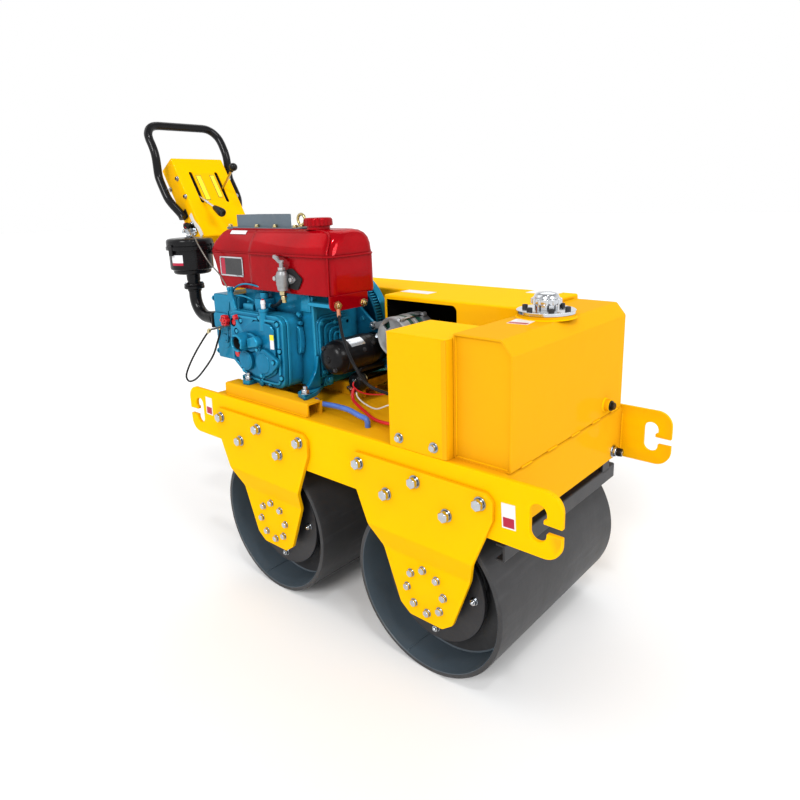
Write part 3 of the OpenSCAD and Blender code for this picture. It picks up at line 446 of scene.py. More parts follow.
# a profile of radius and height, spun round way
def addTurn(bm, profile, centre, way, steps=48, sweep=360, start=0):
    turn = Matrix.Translation(centre) @ turnTo(way) @ Matrix.Rotation(math.radians(start), 4, "Z")
    verts = [bm.verts.new(turn @ Vector((r, 0, h))) for r, h in profile]
    edges = [bm.edges.new(pair) for pair in zip(verts, verts[1:])]
    axis = (turn.to_3x3() @ Vector(toTop)).normalized()
    bmesh.ops.spin(bm, geom=verts + edges, cent=centre, axis=axis, angle=math.radians(sweep), steps=steps,
                   use_merge=sweep == 360)


def addSections(bm, sections):  # closed outlines joined one to the next: (outline, z, corners)
    rings = []
    for outline, z, corners in sections:
        rings.append(list(addFace(bm, outline, "z", z, corners).edges))
    for a, b in zip(rings, rings[1:]):
        bmesh.ops.bridge_loops(bm, edges=a + b)
    inner = [f for f in bm.faces if len(f.verts) > 4 and f.is_valid]
    flats = sorted(inner, key=lambda f: f.calc_center_median().z)
    bmesh.ops.delete(bm, geom=flats[1:-1], context="FACES_ONLY")


# a hexagon head or nut, with its washer and stud
def addHex(bm, place, way, across=17, height=7, washer=0, stud=0):
    place, way = Vector(place), Vector(way).normalized()
    base = place
    if washer:
        addRod(bm, place, place + way * 2, washer, steps=24, edge=0.4, segments=1)
        base = place + way * 2
    addRod(bm, base, base + way * height, across / math.sqrt(3), steps=6, edge=height * 0.12, segments=1)
    if stud:
        addRod(bm, base + way * height * 0.9, base + way * (height + stud), across * 0.28, steps=14, edge=0.8,
               segments=1)


def carve(bm, cutter):  # takes cutter out of bm
    holders = []
    for i, shape in enumerate((bm, cutter)):
        bmesh.ops.remove_doubles(shape, verts=shape.verts, dist=0.001)
        bmesh.ops.recalc_face_normals(shape, faces=shape.faces)
        mesh = bpy.data.meshes.new(f"carve{i}")
        shape.to_mesh(mesh)
        holders.append(bpy.data.objects.new(f"carve{i}", mesh))
        bpy.context.collection.objects.link(holders[-1])
    cut = holders[0].modifiers.new("cut", "BOOLEAN")
    cut.object, cut.operation, cut.solver, cut.use_self = holders[1], "DIFFERENCE", "EXACT", True
    result = bpy.data.meshes.new_from_object(holders[0].evaluated_get(bpy.context.evaluated_depsgraph_get()))
    bm.clear()
    bm.from_mesh(result)
    cutter.free()
    for holder in holders:
        bpy.data.objects.remove(holder)
    bpy.data.meshes.remove(result)


handle = {"lean": 58.5, "pivot": (-540, 546)}
lean = math.radians(handle["lean"])
# v out of the face, y, u up it
handleTurn = Matrix.Translation((handle["pivot"][0], 0, handle["pivot"][1])) @ Matrix((
    (math.sin(lean), 0, -math.cos(lean), 0), (0, 1, 0, 0), (math.cos(lean), 0, math.sin(lean), 0),
    (0, 0, 0, 1)))


labelSlots = {"labelWhite": "cable_white", "labelYellow": "cable_white", "labelRed": "red_plastic",
              "labelBlack": "black_plastic"}


def faceOutwards(bm):  # every closed shell's faces look out of it
    bmesh.ops.recalc_face_normals(bm, faces=bm.faces)
    left = set(bm.faces)
    while left:
        shell, reach = [], [left.pop()]
        while reach:
            face = reach.pop()
            shell.append(face)
            beside = {near for edge in face.edges for near in edge.link_faces} & left
            left -= beside
            reach += beside
        middle = sum((face.calc_center_median() for face in shell), Vector()) / len(shell)
        if sum(face.normal.dot(face.calc_center_median() - middle) * face.calc_area() for face in shell) < 0:
            bmesh.ops.reverse_faces(bm, faces=shell)


def finishPiece(name, bm, finish, body="chassis", replaces=(), turn=None, smooth=38, slot=None, paint=None):
    bmesh.ops.remove_doubles(bm, verts=bm.verts, dist=0.02)
    faceOutwards(bm)
    if turn:
        bmesh.ops.transform(bm, matrix=turn, verts=bm.verts)
    bmesh.ops.transform(bm, matrix=Matrix.Translation((midX, 0, 0)) @ Matrix.Scale(0.001, 4), verts=bm.verts)
    bm.normal_update()
    mesh = bpy.data.meshes.new(name)
    for face in bm.faces:
        face.smooth = True
        if paint:
            face.material_index = paint(face)
    bm.to_mesh(mesh)
    bm.free()
    mesh.set_sharp_from_angle(angle=math.radians(smooth))
    for one in finish if isinstance(finish, (list, tuple)) else [finish]:
        mesh.materials.append(finishes[one])
    piece = bpy.data.objects.new(name, mesh)
    bpy.context.collection.objects.link(piece)
    weigh = piece.modifiers.new("weigh", "WEIGHTED_NORMAL")
    weigh.keep_sharp = True
    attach(piece, body)
    if replaces:
        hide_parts(*replaces)
    first = finish[0] if isinstance(finish, (list, tuple)) else finish
    slot = slot or labelSlots.get(first)


def makeLabel(name, finish, *boxes, edge=0, turn=None):  # a blank label of one or more thin blocks
    bm = bmesh.new()
    for low, high in boxes:
        addBox(bm, low, high, edge, 1, turn)
    finishPiece(name, bm, finish)


def rotZ(angle, centre=(0, 0, 0)):  # a turn about a point, seen from above
    spin = Matrix.Rotation(math.radians(angle), 4, "Z")
    return Matrix.Translation(centre) @ spin @ Matrix.Translation(-Vector(centre))


# Frame: deck, side plates with their hooks, legs
frameParts = {
    "halfLength": 634, "low": 424, "top": 567, "outer": 295, "inner": 285, "cornerRadius": 38,
    "slot": (564, 601), "slotHeights": (456, 535), "mouth": (479, 496), "barb": 7,
    "legOutline": [(-187, 528), (187, 528), (203, 512), (203, 471), (152, 350), (128, 288), (78, 155),
                   (48, 133),
                   (-48, 133), (-78, 155), (-128, 288), (-152, 350), (-203, 471), (-203, 512)],
    "legStep": (288, 350), "legShift": 28, "legThickness": 10,
}
axles = (halfWheelbase, -halfWheelbase)
sides = (-1, 1)
legBolts = [(-173, 503), (0, 503), (173, 503), (-86.6, 449), (86.6, 449)]
hubBolts = spotsRound(0, axleHeight, 54.5, 8, 6)
discBolts = spotsRound(0, axleHeight, 115, 4, 2)


def makeSidePlates():
    f = frameParts
    half, (slot0, slot1), (low, high), (mouth0,
                                        mouth1) = f["halfLength"], f["slot"], f["slotHeights"], f["mouth"]
    right = [(half, f["low"]), (half, mouth0), (slot1, mouth0), (slot1, low), (slot0, low), (slot0, high),
             (slot1, high),
             (slot1, mouth1 + 12), (slot1 - f["barb"], mouth1 + 10), (slot1 - f["barb"], mouth1 + 1),
             (half, mouth1), (half, f["top"])]
    outline = right + [(-x, z) for x, z in reversed(right)]
    n = len(outline)
    bm = bmesh.new()
    for side in sides:
        verts = addPlate(bm, outline, "y", side * f["inner"], side * f["outer"], corners=[
            (f["cornerRadius"], [0, 11, 12, n - 1])])
        loops = [v for v in verts if v.is_valid]
        slots = {e for v in loops for e in v.link_edges if abs(e.verts[0].co.x - e.verts[1].co.x) < 0.01
                 and abs(e.verts[0].co.z - e.verts[1].co.z) < 0.01 and abs(abs(e.verts[0].co.x) - 582.5) < 19
                 and min(abs(e.verts[0].co.z - low), abs(e.verts[0].co.z - high)) < 1}
        softenEdges(bm, list(slots), 18.4, 8)
        across = foldsOf(bm,
                         lambda e: abs(e.verts[0].co.y - e.verts[1].co.y) > 8 and e.verts[0].co.y * side > 0,
                         25)
        softenEdges(bm, across, 1.8, 3)
        rim = foldsOf(bm, lambda e: abs(e.verts[0].co.y - e.verts[1].co.y) < 0.01
                      and e.verts[0].co.y * side > f["outer"] - 0.1, 60)
        softenEdges(bm, rim, 2.2, 3)
    finishPiece("sidePlates", bm, "yellow_paint", replaces=("right_side_plate", "left_side_plate"))


def makeDeck():
    bm = bmesh.new()
    f = frameParts
    addPlate(bm, [(-503, 433), (-503, 567), (503, 567), (503, 433), (495, 433), (495, 559), (-495, 559),
                  (-495, 433)],
             "y", -f["inner"], f["inner"], corners=[(14, [1, 2]), (6, [5, 6])])
    finishPiece("deckSheet", bm, "yellow_paint", replaces=("deck",))


def makeLegs():
    f = frameParts
    for end, axle in zip(("front", "rear"), axles):
        bm = bmesh.new()
        for side in sides:
            part = bmesh.new()
            addFace(part, f["legOutline"], "y", 0, [(4, [0, 1, 2, 13, 4, 5, 6, 7, 8, 9, 10, 11])])
            low, high = f["legStep"]
            folds = [edge + k for edge in (low, high) for k in (-7, -4, -1.5, 1.5, 4, 7)]
            for height in folds:  # cuts that let the sheet bend in two folds
                bmesh.ops.bisect_plane(part, geom=part.verts[:] + part.edges[:] + part.faces[:],
                                       plane_co=(0, 0, height), plane_no=toTop)
            made = bmesh.ops.extrude_face_region(part, geom=part.faces[:])
            bmesh.ops.translate(part, verts=[g for g in made["geom"] if isinstance(g, bmesh.types.BMVert)],
                                vec=(0, -f["legThickness"], 0))
            for v in part.verts:
                near = [min(max((edge + 7 - v.co.z) / 14, 0), 1) ** 2 * 7 + max(edge - 7 - v.co.z,
                    0) for edge in (high, low)]
                v.co.y -= f["legShift"] * (near[0] - near[1]) / (high - low)
                v.co.y = side * (v.co.y + f["outer"] + f["legThickness"])
            bmesh.ops.recalc_face_normals(part, faces=part.faces)
            softenEdges(part, foldsOf(part, angle=60), 1.5, 2)
            bmesh.ops.translate(part, verts=part.verts, vec=(axle, 0, 0))
            addPart(bm, part)
        finishPiece(f"{end}Legs", bm, "yellow_paint", replaces=(f"{end}_legs",), smooth=50)


def makeFrameBolts():
    bm = bmesh.new()
    for side in sides:
        for axle in axles:
            for x, z in legBolts:
                face = Vector((axle + x, side * 305, z))
                out = Vector((0, side, 0))
                addRod(bm, face, face + out * 3, 15, steps=28, edge=0.6, segments=1)
                addRod(bm, face + out * 3, face + out * 6, 11.6, steps=24, edge=0.8, segments=1)
                addHex(bm, face + out * 6, out, 23.4, 10)
                back = Vector((axle + x, side * 285, z))
                addRod(bm, back, back - out * 1.5, 14, steps=20)
                addHex(bm, back - out * 1.5, -out, 22, 3)
    finishPiece("legBolts", bm, "zinc", replaces=("leg_bolts",))
    bm = bmesh.new()
    for side in sides:
        for axle in axles:
            for x, z in hubBolts:
                addHex(bm, (axle + x, side * 277, z), (0, side, 0), 16, 6.5, washer=10.2)
                addRod(bm, (axle + x, side * 256, z), (axle + x, side * 277, z), 5, steps=10)
    finishPiece("hubBolts", bm, "zinc", replaces=("hub_bolts",))
    bm = bmesh.new()
    for side in sides:
        for axle in axles:
            for x, z in discBolts:
                addHex(bm, (axle + x, side * 241, z), (0, side, 0), 15, 7, washer=10, stud=4)
    finishPiece("discBolts", bm, "zinc")


weldRun = {"radius": 2.4, "pitch": 5.5, "wander": 0.5}


def addWeld(bm, start, end, radius=None):  # a rippled bead between two points
    r = radius or weldRun["radius"]
    start, end = Vector(start), Vector(end)
    length = (end - start).length
    count = max(2, int(length / weldRun["pitch"]))
    profile = [(0, 0)]
    for i in range(count):
        h = length * (i + 0.5) / count
        k = 1 + 0.22 * math.sin(i * 2.4) * weldRun["wander"]
        profile += [(r * 0.86, h - length / count * 0.42), (r * k, h)]
    addTurn(bm, profile + [(0, length)], start, end - start, steps=8)


def makeFrameDetails():
    bm = bmesh.new()
    for side in sides:
        for x in (-1, 1):
            # end faces to the side plates
            addWeld(bm, (x * 504, side * 285, 445), (x * 504, side * 285, 548))
        for x in (-454, -96):
            for y in (-281, -231, -71, -21):
                addWeld(bm, (x, y, 568), (x, y + 2, 603), 1.6)
        addWeld(bm, (-453, -280.5, 568), (-97, -280.5, 568), 2)
    finishPiece("frameWelds", bm, "yellow_paint")
    for end, x, z, tilt in (("rear", -530, 520, 2), ("front", 517, 490, -3)):
        turn = Matrix.Translation((x, -295, z)) @ Matrix.Rotation(math.radians(tilt), 4, "Y")
        for tone, low, high in (("White", (-16, -0.7, -28), (16, 0, 26)),
                                ("Red", (-13, -0.9, -25), (13, 0, -4))):
            makeLabel(f"{end}Hook{tone}", f"label{tone}", (low, high), turn=turn)


makeSidePlates()
makeDeck()
makeLegs()
makeFrameBolts()
makeFrameDetails()
print("frame pieces made")


# Drums: rolled shells with a seam inside, painted darker outside
drumShape = {"radius": 213, "wall": 12, "half": 279, "edge": 3.5, "steps": 144}


def makeDrums():
    d = drumShape
    for name, axle in zip(("front", "rear"), axles):
        bm = bmesh.new()
        inner, e = d["radius"] - d["wall"], d["edge"]
        profile = [(inner + 1, -d["half"]), (d["radius"] - e, -d["half"]),
                   (d["radius"] - e * 0.3, -d["half"] + e * 0.3),
                   (d["radius"], -d["half"] + e), (d["radius"], d["half"] - e),
                   (d["radius"] - e * 0.3, d["half"] - e * 0.3),
                   (d["radius"] - e, d["half"]), (inner + 1, d["half"]), (inner, d["half"] - 1),
                   (inner, -d["half"] + 1),
                   (inner + 1, -d["half"])]
        addTurn(bm, profile, (axle, 0, axleHeight), toFar, steps=d["steps"])
        finishPiece(f"{name}DrumShell", bm, ("drum_paint", "drumInside"), f"{name}_drum",
                    (f"{name}_drum_shell",),
                    paint=lambda face, a=axle: int((face.calc_center_median() - at(a, 0,
                        axleHeight)).xz.length < 0.2016))
        bm = bmesh.new()
        for side in sides:
            addTurn(bm, [(200.5, side * 187), (198, side * 189.5), (195, side * 187)], (axle, 0, axleHeight),
                    toFar, steps=96)
            addWeld(bm, (axle + 200 * math.cos(4.4), side * 191, axleHeight + 200 * math.sin(4.4)),
                    (axle + 200 * math.cos(4.4), side * 275, axleHeight + 200 * math.sin(4.4)), 1.8)
        finishPiece(f"{name}DrumWelds", bm, "drumInside", f"{name}_drum", slot="drum_paint")
        bm = bmesh.new()
        for side in sides:
            addTurn(bm, [(66, side * 196.5), (64, side * 197.3), (40, side * 197.3), (38, side * 196.5)],
                    (axle, 0, axleHeight), toFar, steps=64)
        finishPiece(f"{name}HubRings", bm, "dark_steel", f"{name}_drum")


makeDrums()
print("drums made")


# Fuel tank: two pressed shells that meet at a flange
tankShape = {"rear": -575, "front": -70, "near": -205, "far": -30, "lip": 8}


def makeFuelTank():
    t = tankShape

    def ring(x0, x1, y0, y1, z, r, step=3, bend=8, far=None, rear=None):
        outline = [(x0, y0 + step), (-397, y0 + step), (-389, y0), (-185, y0), (x1, y0 + bend), (x1, y1),
                   (x0, y1)]
        return outline, z, [(rear or r * 0.6, [0]), (r, [4]), (far or r, [5]), (r, [6]), (6, [1, 2])]

    n, f, a, b = t["near"], t["far"], t["rear"], t["front"]
    bm = bmesh.new()
    addSections(bm, [
        ring(a + 30, b - 8, n + 7, f - 7, 868, 16), ring(a + 25, b - 2, n + 2, f - 2, 870, 20),
        ring(a + 22, b, n, f, 875, 22), ring(a - 11, b, n, f, 962, 24), ring(a - 12, b, n, f, 968, 24),
    ])
    lip = bmesh.new()
    low, high = (a - 16, b + t["lip"], n - t["lip"], f - 4), (a - 14, b + t["lip"] - 2, n - t["lip"] + 2,
        f - 5)
    addSections(lip, [ring(*high, 968, 26, 11, 6), ring(*low, 969.2, 27, 12, 6), ring(*low, 973, 27, 12, 6),
                      ring(*high, 974.2, 26, 11, 6)])
    top = bmesh.new()
    addSections(top, [
        ring(a - 13, b, n, f, 974, 26), ring(a - 13, b, n + 1, f, 980, 30, far=30),
        ring(a - 10, b - 1, n + 7, f - 1, 996, 36, far=30),
        ring(a - 3, b - 3, n + 17, f - 4, 1012, 42, far=34), ring(a + 6, b - 8, n + 25, f - 10, 1024, 44,
            far=38),
        ring(a + 16, b - 16, n + 33, f - 20, 1032, 44, far=42),
        ring(a + 26, b - 28, n + 42, f - 32, 1035, 44, far=42),
        ring(a + 34, b - 36, n + 50, f - 40, 1035.7, 42, far=42)])
    for part in (lip, top):
        bmesh.ops.recalc_face_normals(part, faces=part.faces)
        addPart(bm, part)
    # bracket below the front end
    addPlate(bm, [(-197, 832), (-66, 832), (-66, 872), (-203, 872), (-203, 846)], "x", -76.5, -70.5, 1.2,
             corners=[(12, [0, 1])])
    finishPiece("fuelTank", bm, "tank_red", replaces=("fuel_tank",), smooth=42)
    bead = smoothRoute([(-78, -199, 874), (-77, -200, 920), (-77, -200, 966), (-79, -198, 982),
                        (-84, -186, 1002), (-95, -172, 1020),
                        (-118, -164, 1031), (-160, -161, 1034.5), (-300, -160, 1035), (-520, -160, 1035)], 6)
    piece = wireCurve("tankSeamBead", [bead], 5, "tank_red")
    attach(piece, "chassis")
    shoulder = Matrix.Translation((-472, -176.5, 1026)) @ Matrix.Rotation(math.radians(50), 4, "X")
    makeLabel("tankLabel", "labelWhite", ((-37, -6, -0.5), (37, 6, 0.7)), turn=shoulder)
    bm = bmesh.new()
    for y, z in ((-179, 847), (-84, 842)):
        addHex(bm, (-70.5, y, z), toFront, 16, 7, washer=11, stud=3)
    finishPiece("tankBracketBolts", bm, "brass")
    bm = bmesh.new()  # name plate: a bright frame round a blank face
    addWall(bm, [(-539, 902), (-428, 902), (-428, 958), (-539, 958)], "y", -202.2, -204, 4,
            corners=[(4, range(4))])
    for x in (-535, -432):
        for z in (906, 954):
            addRod(bm, (x, -203, z), (x, -205.6, z), 2.6, 1.4, steps=12, edge=0.4)
    finishPiece("namePlateFrame", bm, "zinc")
    for name, finish, x0, x1 in (("namePlateFace", "labelBlack", -515, -432),
                                 ("namePlateStrip", "labelRed", -535, -515)):
        makeLabel(name, finish, ((x0, -203.4, 906), (x1, -202.2, 954)), edge=0.3)


capShape = {"centre": (-172, -137, 1035), "radius": 37, "lobes": 20}


def makeFuelCap():
    c, r = capShape["centre"], capShape["radius"]
    bm = bmesh.new()
    addTurn(bm, [(0, 30), (16, 30), (20, 28.5), (29, 28.2), (34, 30.5), (r - 1.2, 29), (r, 26), (r, 12),
                 (r - 1, 10), (31, 9.5),
                 (31, 2), (33, 0)], c, toTop, steps=80)
    for x, y in spotsRound(c[0], c[1], r - 0.6, capShape["lobes"]):
        addRod(bm, (x, y, c[2] + 11), (x, y, c[2] + 27), 2.2, 1.6, steps=10, edge=0.5)
    finishPiece("fuelCap", bm, "tank_red", replaces=("fuel_cap",))


neckShape = {"low": (-515, -150), "high": (-265, -70), "base": 1034, "height": 41, "sheet": 3, "lap": 42,
             "splay": 55}


def makeHopperNeck():
    n = neckShape
    (x0, y0), (x1, y1), t = n["low"], n["high"], n["sheet"]
    top = n["base"] + n["height"]
    plan = [(x0, y0), (x1, y0), (x1 - n["splay"], y1 - 35), (x0 + n["splay"], y1 - 35)]
    bm = bmesh.new()
    addPlate(bm, [(x0 - n["lap"], y0 - 11), (x1 + n["lap"], y0 - 11), (x1 + n["lap"], y1 + 11),
                  (x0 - n["lap"], y1 + 11)], "z",
             n["base"], n["base"] + 6, 1, corners=[(10, range(4))])
    cutter = bmesh.new()
    addPlate(cutter, [(x0 + 9, y0 + t), (x1 - 9, y0 + t), (x1 - n["splay"] - 3, y1 - 38),
                      (x0 + n["splay"] + 3, y1 - 38)], "z",
             n["base"] - 3, n["base"] + 20)
    carve(bm, cutter)
    wall = bmesh.new()
    addWall(wall, plan, "z", n["base"] + 5, top, t, [(4, range(4))])
    softenEdges(wall, foldsOf(wall, lambda e: e.verts[0].co.z > top - 1), 0.8, 1)
    bmesh.ops.recalc_face_normals(wall, faces=wall.faces)
    addPart(bm, wall)
    finishPiece("hopperNeck", bm, "neck_grey", replaces=("hopper_neck",))
    bm = bmesh.new()
    for x, y in ((-540, -155), (-412, -155), (-330, -155), (-245, -155), (-540, -65), (-412, -65),
                 (-245, -65)):
        addHex(bm, (x, y, n["base"] + 6), toTop, 12, 6, washer=8)
    finishPiece("neckBolts", bm, "brass")


def makeLiftingRing():
    bm = bmesh.new()
    x, y, z = -235, -140, 1042
    addRod(bm, (x, y, z), (x, y, z + 4), 12, steps=32, edge=0.6)
    addHex(bm, (x, y, z + 4), toTop, 17, 5)
    addTurn(bm, [(14 + 4 * math.cos(k * math.pi / 6), 4 * math.sin(k * math.pi / 6)) for k in range(13)],
                   (x, y, z + 19), toFar, steps=48)
    finishPiece("liftingRing", bm, "brass", replaces=("lifting_ring",))


tapShape = {"x": -230, "y": -223, "plate": [(-168, 911), (-204, 938), (-222, 936), (-285, 910), (-270, 896),
                                            (-204, 882), (-186, 882)]}


def makeFuelTap():
    x, y = tapShape["x"], tapShape["y"]
    bm = bmesh.new()
    addPlate(bm, tapShape["plate"], "y", -204, -209, 0.8, corners=[(6, range(7))])
    finishPiece("tapGasket", bm, "gasket", slot="rubber")
    bm = bmesh.new()
    addPlate(bm, [(-282, 909), (-258, 923), (-206, 922), (-186, 909), (-206, 896), (-258, 896)], "y", -208,
             -214, 1.2,
             corners=[(9, [0, 3]), (12, [1, 2, 4, 5])])
    addTurn(bm, [(0, 880), (13, 880), (14.5, 882), (15, 890), (17, 896), (17, 920), (15, 926), (12.5, 931),
                 (8, 933), (8, 940), (6, 942),
                 (6, 957), (0, 957)], (x, y, 0), toTop, steps=40)
    addRod(bm, (x, y, 909), (x, -212, 909), 13, steps=28, edge=1)
    addHex(bm, (x, y, 933), toTop, 19, 8)
    addPlate(bm, [(-262, 966), (-258, 974), (-244, 968), (-238, 960), (-222, 960), (-222, 952), (-240, 952),
                  (-248, 958)], "y", y - 4, y + 4,
             1.5, corners=[(3, range(8))])
    for bx in (-268, -202):
        addHex(bm, (bx, -214, 909), toNear, 12, 5, washer=8)
    finishPiece("fuelTap", bm, "cast_alloy", replaces=("fuel_tap",), slot="zinc")
    bm = bmesh.new()
    addHex(bm, (x, y, 868), toTop, 20, 12)
    addHex(bm, (x + 2, y, 856), toTop, 16, 10)
    addRod(bm, (x + 3, y, 848), (x + 3, y, 858), 6.5, steps=20, edge=0.4)
    addRod(bm, (x - 14, y, 909), (x - 21, y, 909), 6, steps=16, edge=0.6)
    finishPiece("tapNuts", bm, "brass")


makeFuelTank()
makeFuelCap()
makeHopperNeck()
makeLiftingRing()
makeFuelTap()
print("fuel tank made")


# Engine: crankcase with its gear housing, covers and bosses
engineShape = {
    "low": 606, "top": 866, "rear": -470, "front": -173, "near": -172, "far": 5, "edge": 5,
    "coverOutline": [(-225, 785), (-229, 796), (-238, 805), (-252, 810), (-440, 810), (-458, 803),
                     (-465, 789), (-465, 663),
                     (-432, 639), (-402, 619), (-366, 606), (-258, 606), (-242, 611), (-234, 621),
                     (-231, 635)],
    "coverRim": [(-236, 783), (-240, 793), (-252, 799), (-440, 799), (-451, 794), (-455, 787), (-455, 669),
                 (-427, 647),
                 (-398, 629), (-364, 616), (-259, 616), (-248, 620), (-242, 634)],
    "coverFace": -245, "coverBack": -223,
    "rimBolts": [(-244, 789), (-242, 715), (-242, 639), (-326, 619), (-412, 638), (-430, 751), (-319, 801),
                 (-406, 784)],
    "ribs": [(-164, -48, 799), (-147, -60, 785), (-130, -72, 771), (-113, -84, 757)],
}


def archOf(y0, y1, z0, z1):
    return [(y0, z0), (y0, z1), (y1, z1), (y1, z0)]


def makeCrankcase():
    e = engineShape
    bm = bmesh.new()
    addPlate(bm, [(e["rear"], e["low"]), (e["front"] - 6, e["low"]), (e["front"], 618),
                  (e["front"], e["top"]), (e["rear"], e["top"])],
             "y", e["near"], e["far"], e["edge"], segments=3)
    # a raised upright rib down the near front corner, and the top deck's lip
    addPlate(bm, [(e["front"] - 7, 618), (e["front"] + 3, 618), (e["front"] + 3, 862), (e["front"] - 7, 862)],
             "y", -175, -160, 2.5)
    addPlate(bm, [(-222, 818), (-214, 856), (-205, 866), (-186, 866), (-180, 858), (-180, 818)], "y", -177,
             -166, 2.2)
    # gear housing with a lug on its front edge
    addPlate(bm, e["coverOutline"], "y", e["coverBack"] + 1, e["near"] + 4, 3, angle=60)
    addPlate(bm, [(x + (3 if x > -300 else -3), z) for x, z in e["coverOutline"]], "y", e["coverBack"] - 1,
             e["coverBack"] + 9,
             2.5, angle=60)
    addPlate(bm, [(-222, 700), (-216, 708), (-212, 728), (-212, 752), (-216, 772), (-222, 780), (-228, 780),
                  (-228, 700)], "y", -190,
             -172, 3)
    addRod(bm, (-228, -181, 786), (-214, -181, 786), 6, steps=16, edge=1)
    addRod(bm, (-228, -181, 812), (-216, -181, 806), 6, steps=16, edge=1)
    # ribbed cover of nested arches on the front
    x = e["front"]
    addPlate(bm, archOf(-168, -44, 632, 806), "x", x - 2, x + 5, 2, corners=[(28, [1, 2])])
    for y0, y1, z1 in e["ribs"]:
        rib = bmesh.new()
        addWall(rib, archOf(y0, y1, 638, z1), "x", x + 3, x + 12, 6.5, [(min(22, (y1 - y0) / 2 - 1), [1, 2])])
        bmesh.ops.recalc_face_normals(rib, faces=rib.faces)
        softenEdges(rib, foldsOf(rib, lambda e: min(v.co.x for v in e.verts) > x + 11), 1, 2)
        addPart(bm, rib)
    addPlate(bm, archOf(-92, -46, 640, 792), "x", x + 3, x + 13, 2.5, corners=[(14, [1, 2])])
    for y, z in ((-156, 787), (-108, 784), (-60, 779), (-60, 700), (-156, 650)):
        addHex(bm, (x + 5, y, z), toFront, 11, 6, washer=8)
    # bosses low on the front
    addRod(bm, (x - 2, -134, 624), (x + 9, -134, 624), 17, steps=32, edge=2)
    addHex(bm, (x + 9, -134, 624), toFront, 15, 5)
    addPlate(bm, [(-152, 606), (-152, 640), (-116, 640), (-116, 606)], "x", x - 2, x + 4, 2,
             corners=[(14, [1, 2])])
    # plate that carries the starter and the alternator
    plate = bmesh.new()
    addPlate(plate, [(-176, 633), (-62, 633), (-40, 659), (-40, 722), (-92, 758), (-159, 811), (-176, 826)],
             "y", -10, 0, 1.6,
             corners=[(10, [1, 2, 3])])
    cutter = bmesh.new()
    addRod(cutter, (-92, -20, 705), (-92, 10, 705), 34.5, steps=40)
    carve(plate, cutter)
    addPart(bm, plate)
    for px, pz in ((-146, 780), (-150, 660), (-60, 650)):
        addHex(bm, (px, -10, pz), toNear, 12, 5, washer=9)
    # stays to the tank's bracket
    for y in (-190, -96):
        addBox(bm, (x - 2, y, 838), (-77, y + 22, 849), 2.5)
    # feet
    addPlate(bm, [(-174, -150), (-176, -236), (-168, -250), (-126, -262), (-122, -256), (-130, -216),
                  (-150, -185)], "z",
             603.5, 614, 3, corners=[(6, [2, 3, 4, 5, 6])])
    addPlate(bm, [(-172, 700), (-178, 700), (-186, 660), (-214, 625), (-240, 613), (-172, 613)], "x", -173,
             -159, 4,
             corners=[(14, [2, 3])], segments=3)
    addRod(bm, (-138, -247, 612), (-138, -247, 617), 12, steps=24, edge=1)
    addPlate(bm, [(-440, -160), (-440, -233), (-423, -221), (-392, -265), (-367, -262), (-362, -160)], "z",
             603.5, 616, 3,
             corners=[(5, [1, 2, 3, 4])])
    for fx in (-452, -225):
        addBox(bm, (fx, -75, 603.5), (fx + 34, -15, 616), 3)
    # injection pump with its pipe unions, and the flange towards the cylinder
    addBox(bm, (-376, -212, 806), (-332, -172, 845), 3.5, 3)
    addRod(bm, (-354, -192, 843), (-354, -192, 862), 12, steps=24, edge=1.5)
    addHex(bm, (-354, -192, 853), toTop, 17, 7)
    addRod(bm, (-334, -192, 826), (-322, -192, 826), 9, steps=20, edge=1)
    addBox(bm, (-430, -214, 806), (-384, -176, 828), 3)
    for px in (-424, -391):
        addHex(bm, (px, -196, 828), toTop, 11, 5)
    addBox(bm, (-474, -170, 620), (-462, 0, 850), 3)
    addRod(bm, (-440, -60, 862), (-440, -60, 867), 20, steps=32, edge=1)
    # inspection cover on the far side
    addPlate(bm, [(-440, 640), (-440, 700), (-395, 700), (-395, 640)], "y", 3, 9, 2, corners=[(8, range(4))])
    finishPiece("crankcase", bm, "engine_blue", replaces=("crankcase",), smooth=45)


